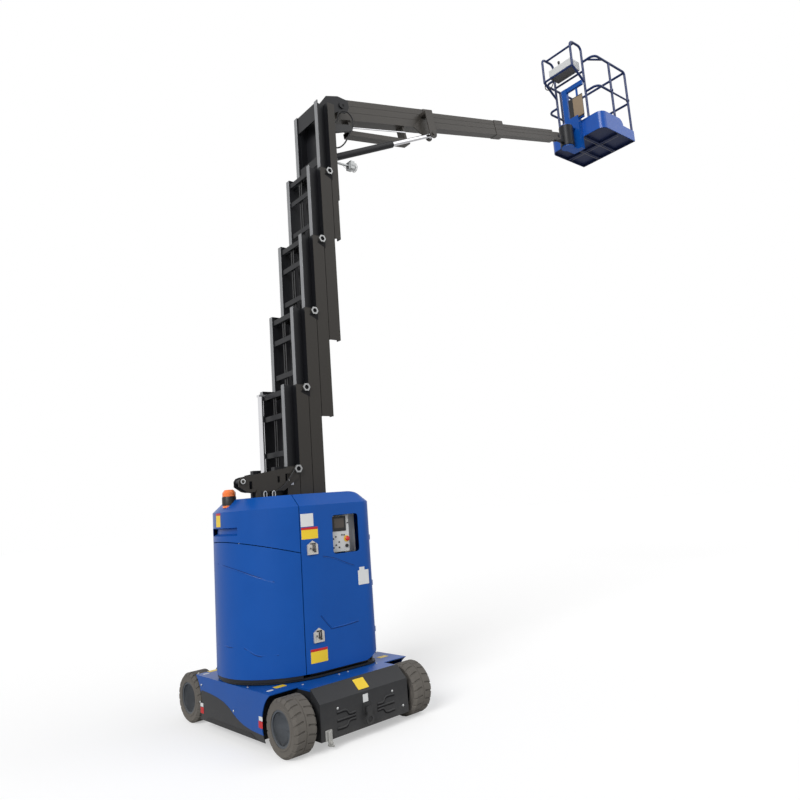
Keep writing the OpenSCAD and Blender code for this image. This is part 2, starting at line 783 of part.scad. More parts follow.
module boom_base() color(dark) at_boom() {
    difference() {
        union() {
            beam(-55, base_u, base_top, base_bot, base_y, base_t);
            beam(base_u - 140, base_u - 2, base_top + 4, base_bot - 4, base_y + 4, 4 + base_t);
            cyl_y_axis(50, -cheek_y + 0.5, cheek_y - 0.5);
        }
        cyl_y_axis(pin_r + 0.05, -200, 200);
    }
    // hose tray hung below the beam, sloping away from it
    translate([tray_u0, 0, tray_w]) rotate([0, tray_slope, 0]) difference() {
        box(0, tray_l, -50, 50, -25, 25);
        box(-1, tray_l + 1, -46, 46, -21, 21);
    }
    for (d = [20, tray_l - 60]) box(tray_u0 + d, tray_u0 + d + 30, -50, 50,
        tray_w - d * sin(tray_slope) + 22, base_bot + eps);
    // yoke plate outside the luffing rod's eye
    plate_xz(cyl_y - 52, cyl_y - 42) {
        polygon([[eye_u - 40, 60], [eye_u + 60, 60], [eye_u + 50, eye_w], [eye_u - 50, eye_w]]);
        translate([eye_u, eye_w]) circle(r = 50);
    }
    box(eye_u - 40, eye_u + 60, cyl_y - 43, -base_y - 4 + eps, 30, 60);
    translate([eye_u, 0, eye_w]) cyl_y_axis(18, cyl_y - 64, cyl_y - 51);
    plate_xz(-base_y - 10, -base_y) {
        polygon([[eye_u - 190, base_bot - 2], [eye_u - 60, 0], [eye_u + 60, 0], [eye_u + 50, eye_w], [eye_u - 46, eye_w - 18]]);
        translate([eye_u, eye_w]) circle(r = 50);
    }
}

mid_back = 970;
tip_back = 1920;

// Wear pads round the back end of a beam that runs in the next larger one
module rear_pads(u, y, top, bottom, side, above, below) {
    difference() {
        box(u + 10, u + 130, -y - side, y + side, bottom - below, top + above);
        box(u, u + 140, -y + 3, y - 3, bottom + 3, top - 3);
        for (s = [-1, 1], z = [bottom - below - 1, top - 8]) box(u, u + 140, s > 0 ? y - 12 : -y - side - 1,
            s > 0 ? y + side + 1 : -y + 12, z, z == top - 8 ? top + above + 1 : bottom + 8);
    }
}

module boom_mid() color([0.25, 0.25, 0.25]) at_boom() {
    rear_pads(mid_back, mid_y, mid_top, mid_bot, 6 - gap, 16 - gap, 6 - gap);
    beam(mid_back, mid_u, mid_top, mid_bot, mid_y, mid_t);
    beam(mid_u - 160, mid_u - 2, mid_top + 4, mid_bot - 4, mid_y + 4, 4 + mid_t);
}

module boom_tip() color([0.28, 0.28, 0.28]) at_boom() {
    beam(tip_back, tip_u, tip_top, tip_bot, tip_y, 4);
    rear_pads(tip_back, tip_y, tip_top, tip_bot, 6 - gap, 22 - gap, 6 - gap);
    difference() {
        union() {
            box(tip_u - eps, tip_u + 12, -tip_y, tip_y, tip_bot, tip_top);
            both_y() plate_xz(26, 38) {
                translate([tip_u, -50]) square([level_u - tip_u, 100]);
                translate([level_u, 0]) circle(r = 50);
            }
        }
        translate([level_u, 0, 0]) cyl_y_axis(18.05, -60, 60);
    }
}

// Luffing cylinder
module at_cylinder() {
    translate([foot_x, cyl_y, foot_z]) rotate([0, -cyl_angle, 0]) children();
}

module luff_barrel() color(dark) at_cylinder() difference() {
    union() {
        cyl_x_axis(barrel_r, 44, barrel_l);
        cyl_y_axis(30, -20, 20);
        box(0, 50, -20, 20, -28, 28);
    }
    cyl_x_axis(rod_r + 0.05, 60, barrel_l + 1);
    cyl_y_axis(14.05, -40, 40);
}

module luff_rod() color([0.88, 0.88, 0.9]) at_cylinder() {
    cyl_x_axis(rod_r, cyl_len - 1040, cyl_len - 10);
    translate([cyl_len, 0, 0]) cyl_y_axis(30, -22, 22);
    translate([cyl_len, 0, 0]) cyl_y_axis(14, -42 + gap, -base_y - 10 - gap - cyl_y);
}

// Work lamp on an arm from the near rail's front lip
lamp_z = head_z - 570;

module work_light() color([0.8, 0.8, 0.8]) {
    x0 = sec_x(6) + head_depth;
    box(x0, x0 + 6, -outer_y, -lip_y - 2, lamp_z - 36, lamp_z + 36);
    box(x0 + 6 - eps, 650, -212, -188, lamp_z - 6, lamp_z + 6);
    box(640, 652, -225, -175, lamp_z - 40, lamp_z + 30);
    translate([652 - eps, -200, lamp_z]) {
        box(0, 44, -38, 38, -32, 44);
        cyl_x_axis(34, 43, 62);
    }
}

// Levelling head and rotator
module level_head() color([0.2, 0.2, 0.2]) {
    difference() {
        union() {
            translate([level_p[0], 0, level_p[1]]) {
                cyl_y_axis(44, -25, 25);
                cyl_y_axis(18, -44, 44);
                box(0, 226, -25, 25, -44, 44);
            }
            translate([rot_x, 0, rot_z0 + 16]) cylinder(r = rot_r, h = rot_z1 - rot_z0 - 32);
        }
        translate([rot_x, 0, rot_z0]) cylinder(r = 30.05, h = 500);
    }
}

module basket_bracket() color(blue) {
    translate([rot_x, 0, 0]) {
        for (z = [rot_z0, rot_z1 - 15.7]) translate([0, 0, z]) {
            cylinder(r = rot_r - 10, h = 15.7);
            box(0, 160, -60, 60, 0, 15.7);
        }
        translate([0, 0, rot_z0 + 1]) cylinder(r = 30, h = rot_z1 - rot_z0 - 2);
    }
    box(rot_x + 140, basket_x - gap, -120, 60, rot_z0, floor_bottom + 300);
    box(basket_x - 70, basket_x - 20, 30, 110, floor_bottom + 200, floor_bottom + 770);
    box(basket_x - 60, basket_x - 20, -225, 111, floor_bottom + 715, floor_bottom + 775);
    box(basket_x - 56, basket_x - 20, -190, -50, floor_bottom + 255, floor_bottom + 585);
    box(basket_x - 50, basket_x - 25, -130, -110, floor_bottom + 290, floor_bottom + 720);
}

// Basket

basket_r = 100;

module basket_2d(d) {
    x0 = basket_x + d;
    x1 = basket_x + basket_l - d;
    y1 = basket_w / 2 - d;
    r = basket_r - d;
    f = max(front_r - d, 1);
    translate([x0 + r, -y1]) square([x1 - x0 - r - f, 2 * y1]);
    translate([x0, -y1 + r]) square([r + 1, 2 * (y1 - r)]);
    for (s = [-1, 1]) translate([x0 + r, s * (y1 - r)]) circle(r = r);
    translate([x1 - f - 1, -y1 + f]) square([f + 1, 2 * (y1 - f)]);
    for (s = [-1, 1]) translate([x1 - f, s * (y1 - f)]) circle(r = f, $fn = 32);
}

module basket_floor() color([0.06, 0.08, 0.2]) {
    translate([0, 0, floor_bottom + 38]) linear_extrude(6) basket_2d(wall_t + gap);
    difference() {
        translate([0, 0, floor_bottom]) linear_extrude(38) basket_2d(wall_t + gap);
        translate([0, 0, floor_bottom - 1]) linear_extrude(40) basket_2d(12);
    }
    translate([0, 0, floor_bottom + 44 - eps]) linear_extrude(mat_t + eps) basket_2d(wall_t + 2 * tube_r + 6);
    for (y = [-110, 150]) box(basket_x + 11, basket_x + basket_l - 11, y - 12, y + 12, floor_bottom + 6, floor_bottom + 38);
    box(basket_x + basket_l / 2 - 12, basket_x + basket_l / 2 + 12, -basket_w / 2 + 11, basket_w / 2 - 11,
        floor_bottom + 6, floor_bottom + 38);
}

dip_x = basket_x + 400;
dip_z = floor_bottom + 155;

module kick_wall() color(blue) difference() {
    translate([0, 0, floor_bottom + 4]) linear_extrude(kick_h - 4) difference() {
        basket_2d(0);
        basket_2d(wall_t);
    }
    translate([0, -basket_w / 2 + 200, 0]) plate_xz(-400, 0) {
        translate([dip_x + 90, dip_z]) square([500, 300]);
        difference() {
            translate([dip_x, dip_z]) square([91, 300]);
            translate([dip_x, floor_bottom + kick_h - 90]) circle(r = 90);
        }
    }
}

end_drop = 45;

// Rail tube along the basket's edge at one height; open stretches are cut
module rail_loop(z, bent = 0) {
    x0 = basket_x + rail_in;
    x1 = basket_x + basket_l - rail_in;
    y1 = basket_w / 2 - rail_in;
    r = basket_r - rail_in;
    t = bent ? tube_r : tube_r - 0.3;
    k = bent * corner_bend * (1 - sqrt(0.5));
    translate([0, 0, z]) {
        for (s = [-1, 1]) {
            translate([0, s * y1, 0]) cyl_x_axis(t, x0 + r, x1 - bent * corner_bend);
            translate([x0 + r, s * (y1 - r), 0]) rotate([0, 0, s > 0 ? 90 : 180])
                rotate_extrude(angle = 90) translate([r, 0]) circle(r = t, $fn = 32);
        }
        // the lower loop's end rail is welded below the sliding bar's ring
        translate([x1 - k, 0, bent ? -k : -end_drop]) cyl_y_axis(t, -y1, y1);
        translate([x0, 0, 0]) cyl_y_axis(t, -y1 + r, y1 - r);
    }
}

post_mid_x = basket_x + 345;
hoop_out = 240;
near_y = -225;
left_y = 265;
hoop_h = 1300;

module post(x, y, h) {
    translate([x, y, floor_bottom + 44]) cylinder(r = tube_r, h = h - 44);
    translate([x, y, floor_bottom + h]) sphere(r = tube_r);
}

// Quarter bend of the rail tube in the XZ plane about (x, z)
module bend(x, y, z, a, r = bend_r) {
    translate([x, y, z]) rotate([90, 0, 0]) rotate([0, 0, a])
        rotate_extrude(angle = 90) translate([r, 0]) circle(r = tube_r, $fn = 32);
}

module guard_rails() color(blue) {
    x0 = basket_x + rail_in;
    x1 = basket_x + basket_l - rail_in;
    y1 = basket_w / 2 - rail_in;
    difference() {
        rail_loop(floor_bottom + rail_h, 1);
        box(x0 - 100, x0 + 50, near_y - tube_r - gap, left_y + tube_r + gap, 0, 9000);
    }
    difference() {
        rail_loop(floor_bottom + mid_rail_h);
        box(x0 - 100, x0 + 50, near_y - tube_r - gap, left_y + tube_r + gap, 0, 9000);
        box(post_mid_x, x1 + tube_r + 1, -y1 - 100, -y1 + 60, floor_bottom + mid_rail_h - tube_r - 1, 9000);
    }
    for (s = [-1, 1]) {
        post(post_mid_x, s * y1, rail_h);
        translate([x1, s * y1, floor_bottom + 44]) cylinder(r = tube_r, h = rail_h - corner_bend - 44);
        bend(x1 - corner_bend, s * y1, floor_bottom + rail_h - corner_bend, 0, corner_bend);
    }
    // short bar across the rear corner on the entry side
    bar_x = 195;
    bar_y = y1 - 300;
    translate([x0, -300, floor_bottom + rail_h]) rotate([0, 90, -atan2(bar_y, bar_x)])
        cylinder(r = tube_r - 3, h = sqrt(bar_x * bar_x + bar_y * bar_y));
}

// Two bent hoops either side of the controls, tied by three cross tubes
module gate_hoops() color(blue) {
    x0 = basket_x + rail_in;
    for (y = [near_y, left_y]) {
        top = floor_bottom + hoop_h;
        translate([x0, y, floor_bottom + 44]) cylinder(r = tube_r, h = hoop_h - 44 - bend_r);
        bend(x0 - bend_r, y, top - bend_r, 0);
        translate([0, y, top]) cyl_x_axis(tube_r, x0 - hoop_out + bend_r, x0 - bend_r);
        bend(x0 - hoop_out + bend_r, y, top - bend_r, 90);
        translate([x0 - hoop_out, y, floor_bottom + 935]) cylinder(r = tube_r, h = hoop_h - bend_r - 935);
        translate([x0 - hoop_out, y, floor_bottom + 935]) sphere(r = tube_r);
        translate([x0 - hoop_out, y, floor_bottom + 935]) rotate([0, 90 + atan2(170, hoop_out), 0])
            cylinder(r = tube_r, h = sqrt(hoop_out * hoop_out + 170 * 170));
    }
    translate([x0 - hoop_out + 90, 0, floor_bottom + hoop_h]) cyl_y_axis(tube_r - 2, near_y, left_y);
    translate([x0, 0, floor_bottom + 935]) cyl_y_axis(tube_r - 2, near_y, left_y);
    translate([x0 - hoop_out, 0, floor_bottom + 940]) cyl_y_axis(tube_r - 2, near_y, left_y);
}

module control_box() color([0.85, 0.85, 0.85]) {
    x0 = basket_x + rail_in - hoop_out;
    box(x0 + 20, x0 + 215, -190, 185, floor_bottom + 955, floor_bottom + 1075);
    for (y = [-150, 120]) box(x0 - 12, x0 + 40, y, y + 30, floor_bottom + 940 + tube_r - 2 + gap, floor_bottom + 966);
}

// Sliding middle bar of the entry, guided by a ring on each post
module entry_bar() color(blue) {
    x1 = basket_x + basket_l - rail_in;
    y1 = basket_w / 2 - rail_in;
    z = floor_bottom + mid_rail_h;
    // one ring rides above the fixed middle rail, the other at the bar's own height
    for (p = [[post_mid_x, z + tube_r + 2], [x1, z - 10]]) translate([p[0], -y1, p[1]]) difference() {
        cylinder(r = tube_r + 8, h = 20);
        translate([0, 0, -1]) cylinder(r = tube_r + 0.08, h = 22);
    }
    translate([0, -y1, z]) cyl_x_axis(tube_r - 4, post_mid_x + tube_r + 8, x1 - tube_r - 4);
    translate([post_mid_x + tube_r + 4, -y1, 0]) box(0, 12, -6, 6, z - 6, z + tube_r + 20);
}

chassis_frame();
deck_plate();
side_covers();
end_covers();
tow_ring();
slew_ring();
drive_motors();
steer_axle();
knuckle(-1);  // steer_knuckle_left
knuckle(1);  // steer_knuckle_right
wheel_tyre(-1, 1);  // tyre_front_left
wheel_tyre(1, 1);  // tyre_front_right
wheel_tyre(-1, -1);  // tyre_rear_left
wheel_tyre(1, -1);  // tyre_rear_right
wheel_rim(-1, 1);  // rim_front_left
wheel_rim(1, 1);  // rim_front_right
wheel_rim(-1, -1);  // rim_rear_left
wheel_rim(1, -1);  // rim_rear_right
turntable();
tail_hood();
tail_cap();
pod_frames();
door_near();
door_far();
latches(-1);  // latches_near
latches(1);  // latches_far
ground_control();
counterweight();
battery_packs();
mast_brace();
beacon();
color(dark) mast_section(1);  // mast_section_1
color(dark) mast_section(2);  // mast_section_2
color(dark) mast_section(3);  // mast_section_3
color(dark) mast_section(4);  // mast_section_4
color(dark) mast_section(5);  // mast_section_5
mast_head();  // mast_section_6
chain_set(1);  // chains_1
chain_set(2);  // chains_2
chain_set(3);  // chains_3
chain_set(4);  // chains_4
chain_set(5);  // chains_5
lift_barrel();
lift_rod();
boom_base();
boom_mid();
boom_tip();
luff_barrel();
luff_rod();
work_light();
level_head();
basket_bracket();
basket_floor();
kick_wall();
guard_rails();
gate_hoops();
control_box();
entry_bar();
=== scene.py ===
"""Dresses the mast boom lift: paint, rubber, bare metal and small fittings over the solid frame."""
import math

import bpy
import numpy as np
from mathutils import Matrix


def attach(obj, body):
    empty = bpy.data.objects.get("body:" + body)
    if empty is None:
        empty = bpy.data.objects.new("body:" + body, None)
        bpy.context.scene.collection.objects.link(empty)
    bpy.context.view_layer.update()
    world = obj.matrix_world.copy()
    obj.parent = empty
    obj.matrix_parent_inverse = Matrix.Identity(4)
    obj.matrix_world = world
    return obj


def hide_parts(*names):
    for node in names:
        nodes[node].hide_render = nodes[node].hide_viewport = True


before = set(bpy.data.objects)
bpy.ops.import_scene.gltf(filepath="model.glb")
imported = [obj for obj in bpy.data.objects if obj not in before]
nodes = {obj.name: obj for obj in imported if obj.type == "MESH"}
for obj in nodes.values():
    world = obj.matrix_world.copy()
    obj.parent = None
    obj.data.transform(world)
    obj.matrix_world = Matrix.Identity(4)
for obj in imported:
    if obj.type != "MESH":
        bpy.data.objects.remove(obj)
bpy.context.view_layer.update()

# The view: a hand-held camera low at the machine's rear corner, tilted a little to one side.
# Its place, turn and lens come from fitting the machine's straight edges in the photograph.
camera_data = bpy.data.cameras.new("view")
camera_data.lens = 30.904
camera_data.sensor_width = 36.0
camera_data.shift_x = -0.04474
camera_data.shift_y = -0.01299
camera = bpy.data.objects.new("view", camera_data)
camera.matrix_world = Matrix((
    (0.7566, -0.0429, -0.6524, -2.8681),
    (-0.6490, -0.1708, -0.7414, -5.1859),
    (-0.0796, 0.9844, -0.1571, 1.6203),
    (0.0, 0.0, 0.0, 1.0)))
bpy.context.scene.collection.objects.link(camera)
bpy.context.scene.camera = camera
bpy.context.scene.view_settings.view_transform = "Standard"

# The studio: a matt white floor under two broad soft lamps and an even pale surround.
# The floor keeps the machine's shadow; what lies beyond it is seen as plain white.
floor_mesh = bpy.data.meshes.new("studio_floor")
floor_mesh.from_pydata([(-60, -60, 0), (60, -60, 0), (60, 60, 0), (-60, 60, 0)], [], [(0, 1, 2, 3)])
studio_floor = bpy.data.objects.new("studio_floor", floor_mesh)
bpy.context.scene.collection.objects.link(studio_floor)
floor_paint = bpy.data.materials.new("studio_white")
floor_paint.use_nodes = True
floor_tree = floor_paint.node_tree
floor_tree.nodes.clear()
floor_out = floor_tree.nodes.new("ShaderNodeOutputMaterial")
floor_mix = floor_tree.nodes.new("ShaderNodeAddShader")
floor_matt = floor_tree.nodes.new("ShaderNodeBsdfDiffuse")
floor_matt.inputs["Color"].default_value = (0.62, 0.62, 0.62, 1)
floor_glow = floor_tree.nodes.new("ShaderNodeEmission")
floor_ray = floor_tree.nodes.new("ShaderNodeLightPath")
floor_gain = floor_tree.nodes.new("ShaderNodeMath")
floor_gain.operation = "MULTIPLY"
floor_gain.inputs[1].default_value = 0.42
floor_tree.links.new(floor_ray.outputs["Is Camera Ray"], floor_gain.inputs[0])
floor_tree.links.new(floor_gain.outputs[0], floor_glow.inputs["Strength"])
floor_tree.links.new(floor_matt.outputs[0], floor_mix.inputs[0])
floor_tree.links.new(floor_glow.outputs[0], floor_mix.inputs[1])
floor_tree.links.new(floor_mix.outputs[0], floor_out.inputs["Surface"])
floor_mesh.materials.append(floor_paint)

world = bpy.data.worlds.new("studio_air")
bpy.context.scene.world = world
world.use_nodes = True
air = world.node_tree
air.nodes.clear()
air_out = air.nodes.new("ShaderNodeOutputWorld")
air_light = air.nodes.new("ShaderNodeBackground")
air_light.inputs["Color"].default_value = (1, 1, 1, 1)
air_ray = air.nodes.new("ShaderNodeLightPath")
seen_or_through = air.nodes.new("ShaderNodeMath")
seen_or_through.operation = "MAXIMUM"
seen_at_all = air.nodes.new("ShaderNodeMath")
seen_at_all.operation = "MAXIMUM"
air_level = air.nodes.new("ShaderNodeMapRange")
air_level.inputs["To Min"].default_value = 0.42
air_level.inputs["To Max"].default_value = 1.0
air.links.new(air_ray.outputs["Is Camera Ray"], seen_or_through.inputs[0])
air.links.new(air_ray.outputs["Is Transmission Ray"], seen_or_through.inputs[1])
air.links.new(seen_or_through.outputs[0], seen_at_all.inputs[0])
air.links.new(air_ray.outputs["Is Glossy Ray"], seen_at_all.inputs[1])
air.links.new(seen_at_all.outputs[0], air_level.inputs["Value"])
air.links.new(air_level.outputs[0], air_light.inputs["Strength"])
air.links.new(air_light.outputs[0], air_out.inputs["Surface"])

for name, turn, power, spread in (("key", (58, 0, -62), 2.2, 30), ("fill", (50, 0, 40), 0.8, 60)):
    lamp = bpy.data.lights.new(name, "SUN")
    lamp.energy = power
    lamp.angle = math.radians(spread)
    lamp_object = bpy.data.objects.new(name, lamp)
    lamp_object.rotation_euler = [math.radians(a) for a in turn]
    bpy.context.scene.collection.objects.link(lamp_object)


# The chassis: welded steel plate under satin charcoal paint, with blue enamel on the deck.
# Both paints carry the fine orange peel of a sprayed coat and road dust low down.
def value_of(tree, kind, **settings):
    """Adds a node of one kind to a tree; named sockets get plain values, other names are its own settings."""
    node = tree.nodes.new(kind)
    for key, value in settings.items():
        if key in node.inputs:
            node.inputs[key].default_value = value
        else:
            setattr(node, key, value)
    return node


def spray_group():
    """Cloudiness of a coat: wide noise around one half as Tone, and very fine noise as Peel for bumps."""
    group = bpy.data.node_groups.new("sprayed_coat", "ShaderNodeTree")
    group.interface.new_socket("Cloud size", in_out="INPUT", socket_type="NodeSocketFloat").default_value = 3.0
    group.interface.new_socket("Peel size", in_out="INPUT", socket_type="NodeSocketFloat").default_value = 260.0
    group.interface.new_socket("Tone", in_out="OUTPUT", socket_type="NodeSocketFloat")
    group.interface.new_socket("Peel", in_out="OUTPUT", socket_type="NodeSocketFloat")
    enter, leave = group.nodes.new("NodeGroupInput"), group.nodes.new("NodeGroupOutput")
    place = group.nodes.new("ShaderNodeTexCoord")
    cloud = value_of(group, "ShaderNodeTexNoise", Detail=4.0, Roughness=0.6)
    peel = value_of(group, "ShaderNodeTexNoise", Detail=1.0, Roughness=0.4)
    for node, socket in ((cloud, "Cloud size"), (peel, "Peel size")):
        group.links.new(place.outputs["Object"], node.inputs["Vector"])
        group.links.new(enter.outputs[socket], node.inputs["Scale"])
    group.links.new(cloud.outputs["Fac"], leave.inputs["Tone"])
    group.links.new(peel.outputs["Fac"], leave.inputs["Peel"])
    return group


def dust_group():
    """Dust that thins out with height: a ramp from Low to High on the piece's own Z, broken up by noise, as Mask."""
    group = bpy.data.node_groups.new("road_dust", "ShaderNodeTree")
    for name, value in (("Low", 0.05), ("High", 0.5), ("Amount", 0.5)):
        group.interface.new_socket(name, in_out="INPUT", socket_type="NodeSocketFloat").default_value = value
    group.interface.new_socket("Mask", in_out="OUTPUT", socket_type="NodeSocketFloat")
    enter, leave = group.nodes.new("NodeGroupInput"), group.nodes.new("NodeGroupOutput")
    place = group.nodes.new("ShaderNodeTexCoord")
    split = group.nodes.new("ShaderNodeSeparateXYZ")
    ramp = group.nodes.new("ShaderNodeMapRange")
    ramp.inputs["To Min"].default_value = 1.0
    ramp.inputs["To Max"].default_value = 0.0
    specks = value_of(group, "ShaderNodeTexNoise", Scale=22.0, Detail=6.0, Roughness=0.7)
    broken = value_of(group, "ShaderNodeMath", operation="MULTIPLY")
    scaled = value_of(group, "ShaderNodeMath", operation="MULTIPLY", use_clamp=True)
    group.links.new(place.outputs["Object"], split.inputs[0])
    group.links.new(place.outputs["Object"], specks.inputs["Vector"])
    group.links.new(split.outputs["Z"], ramp.inputs["Value"])
    group.links.new(enter.outputs["Low"], ramp.inputs["From Min"])
    group.links.new(enter.outputs["High"], ramp.inputs["From Max"])
    group.links.new(ramp.outputs[0], broken.inputs[0])
    group.links.new(specks.outputs["Fac"], broken.inputs[1])
    group.links.new(broken.outputs[0], scaled.inputs[0])
    group.links.new(enter.outputs["Amount"], scaled.inputs[1])
    group.links.new(scaled.outputs[0], leave.inputs["Mask"])
    return group


sprayed_coat, road_dust = spray_group(), dust_group()


def coat(name, colour, lighter, roughness, metallic=0.0, peel=0.15, dust=(0.0, 0.5, 0.0), clear=0.0,
         dusty=(0.30, 0.28, 0.25), cloud=3.0, peel_size=260.0, specular=0.5):
    """A finish: colour mixed towards a lighter tone by the cloud, then towards dust; rougher where dusty."""
    finish = bpy.data.materials.new(name)
    finish.use_nodes = True
    tree = finish.node_tree
    body = tree.nodes["Principled BSDF"]
    body.inputs["Metallic"].default_value = metallic
    body.inputs["Specular IOR Level"].default_value = specular
    body.inputs["Coat Roughness"].default_value = 0.08
    body.inputs["Coat Weight"].default_value = clear
    spray = tree.nodes.new("ShaderNodeGroup")
    spray.node_tree = sprayed_coat
    spray.inputs["Cloud size"].default_value = cloud
    spray.inputs["Peel size"].default_value = peel_size
    tone = value_of(tree, "ShaderNodeMix", data_type="RGBA")
    tone.inputs[6].default_value = (*colour, 1)
    tone.inputs[7].default_value = (*lighter, 1)
    tree.links.new(spray.outputs["Tone"], tone.inputs[0])
    soil = tree.nodes.new("ShaderNodeGroup")
    soil.node_tree = road_dust
    for socket, value in zip(("Low", "High", "Amount"), dust):
        soil.inputs[socket].default_value = value
    soiled = value_of(tree, "ShaderNodeMix", data_type="RGBA")
    soiled.inputs[7].default_value = (*dusty, 1)
    tree.links.new(soil.outputs["Mask"], soiled.inputs[0])
    tree.links.new(tone.outputs[2], soiled.inputs[6])
    tree.links.new(soiled.outputs[2], body.inputs["Base Color"])
    gloss = tree.nodes.new("ShaderNodeMapRange")
    gloss.inputs["To Min"].default_value = roughness - 0.05
    gloss.inputs["To Max"].default_value = roughness + 0.07
    tree.links.new(spray.outputs["Tone"], gloss.inputs["Value"])
    rough = value_of(tree, "ShaderNodeMath", operation="ADD", use_clamp=True)
    tree.links.new(gloss.outputs[0], rough.inputs[0])
    tree.links.new(soil.outputs["Mask"], rough.inputs[1])
    tree.links.new(rough.outputs[0], body.inputs["Roughness"])
    bump = value_of(tree, "ShaderNodeBump", Strength=peel, Distance=0.0006)
    tree.links.new(spray.outputs["Peel"], bump.inputs["Height"])
    tree.links.new(bump.outputs[0], body.inputs["Normal"])
    return finish


def finish_nodes(finish, *names):
    """Puts one finish on the frame's own solids."""
    for name in names:
        mesh = nodes[name].data
        mesh.materials.clear()
        mesh.materials.append(finish)


charcoal = coat("charcoal_paint", (0.009, 0.010, 0.012), (0.016, 0.017, 0.020), 0.46,
                dust=(0.05, 0.42, 0.16), specular=0.22)
charcoal_cover = coat("charcoal_cover", (0.018, 0.019, 0.021), (0.027, 0.028, 0.031), 0.42,
                      dust=(0.05, 0.40, 0.14), specular=0.25)
blue_enamel = coat("blue_enamel", (0.0015, 0.060, 0.29), (0.003, 0.078, 0.36), 0.36,
                   clear=0.06, peel=0.08, specular=0.2)
blue_deck = coat("blue_deck_enamel", (0.0015, 0.058, 0.27), (0.003, 0.075, 0.34), 0.36,
                 clear=0.05, dust=(0.05, 0.45, 0.08), specular=0.2)
finish_nodes(charcoal, "chassis_frame", "drive_motors", "steer_axle",
             "steer_knuckle_left", "steer_knuckle_right", "turntable", "counterweight", "battery_packs")
finish_nodes(charcoal_cover, "side_covers", "end_covers", "tow_ring")
finish_nodes(blue_deck, "deck_plate")


def skin(rings, close=True, loop=False):
    """A surface over a stack of like rings: quads join neighbouring rings, a flat face ends the first and the last,
    or the stack runs round into itself. Its faces are turned outwards by the sign of the volume that they enclose."""
    rows, cols, _ = rings.shape
    points = rings.reshape(-1, 3)
    r = np.arange(rows if loop else rows - 1)[:, None]
    c = np.arange(cols)[None, :]
    after, above = (c + 1) % cols, (r + 1) % rows * cols
    quads = np.stack([r * cols + c, r * cols + after, above + after, above + c], -1).reshape(-1, 4)
    blocks = [quads]
    if close and not loop:
        blocks += [np.arange(cols)[::-1][None, :], np.arange(cols)[None, :] + (rows - 1) * cols]
    middle = points.mean(0)
    volume = 0.0
    for block in blocks:
        for k in range(1, block.shape[1] - 1):
            a, b, d = (points[block[:, i]] - middle for i in (0, k, k + 1))
            volume += np.einsum("ij,ij->", a, np.cross(b, d))
    return points, [b[:, ::-1] for b in blocks] if volume < 0 else blocks


def repeated(shape, places):
    """One shape at many places: its points plus each place, and its faces counted on by the points before them."""
    points, blocks = shape
    places = np.asarray(places, float)
    steps = np.arange(len(places)) * len(points)
    return ((points[None] + places[:, None]).reshape(-1, 3),
            [(b[None] + steps[:, None, None]).reshape(-1, b.shape[1]) for b in blocks])


def lay(name, body, finish, *shapes, sharp=32.0):
    """Puts shapes into one mesh with its finish, smooth but for edges over an angle, and lets it ride on a body."""
    mesh = bpy.data.meshes.new(name)
    faces, start = [], 0
    for points, blocks in shapes:
        for block in blocks:
            faces += (block + start).tolist()
        start += len(points)
    mesh.from_pydata(np.concatenate([points for points, _ in shapes]).tolist(), [], faces)
    mesh.polygons.foreach_set("use_smooth", np.ones(len(faces), bool))
    mesh.set_sharp_from_angle(angle=math.radians(sharp))
    mesh.materials.append(finish)
    piece = bpy.data.objects.new(name, mesh)
    bpy.context.scene.collection.objects.link(piece)
    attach(piece, body)
    return piece


def plate(outline, at, across, up, thick, edge=0.0006):
    """A flat plate: its outline laid from a point along two directions and lifted square to them, with the last
    of its thickness drawn in along the outline's inward normals as a small chamfer."""
    flat = np.asarray(outline, float)
    along = np.roll(flat, -1, 0) - np.roll(flat, 1, 0)
    along /= np.linalg.norm(along, axis=1, keepdims=True)
    turn = np.sign(np.sum(flat[:, 0] * np.roll(flat[:, 1], -1) - flat[:, 1] * np.roll(flat[:, 0], -1)))
    inward = np.stack([-along[:, 1], along[:, 0]], 1) * turn
    across, up = np.asarray(across, float), np.asarray(up, float)
    out = np.cross(across, up)
    rings = [(flat, 0.0), (flat, thick - edge), (flat + inward * edge, thick)]
    return skin(np.stack([np.asarray(at, float) + f[:, :1] * across + f[:, 1:] * up + h * out for f, h in rings]))


def oblong(width, height, radius=0.003, steps=4):
    """The outline of a rectangle about its middle with round corners: quarter circles at the four corners."""
    radius = min(radius, width / 2, height / 2)
    turn = np.radians(np.linspace(0, 90, steps + 1))
    corners = [(1, 1, 0), (-1, 1, 90), (-1, -1, 180), (1, -1, 270)]
    return np.concatenate([np.stack([sx * (width / 2 - radius) + radius * np.cos(turn + math.radians(a)),
                                     sy * (height / 2 - radius) + radius * np.sin(turn + math.radians(a))], 1)
                           for sx, sy, a in corners])


def spun(profile, at, axis, sides=40):
    """A turned shape: pairs of height and radius carried once round an axis through a point, closed by flat ends."""
    profile = np.asarray(profile, float)
    axis = np.asarray(axis, float) / np.linalg.norm(axis)
    first = np.cross(axis, (0.0, 0.0, 1.0) if abs(axis[2]) < 0.9 else (1.0, 0.0, 0.0))
    first /= np.linalg.norm(first)
    second = np.cross(axis, first)
    turn = 2 * np.pi * np.arange(sides) / sides
    round_it = np.cos(turn)[:, None] * first + np.sin(turn)[:, None] * second
    return skin(np.asarray(at, float) + profile[:, 0, None, None] * axis + profile[:, 1, None, None] * round_it)


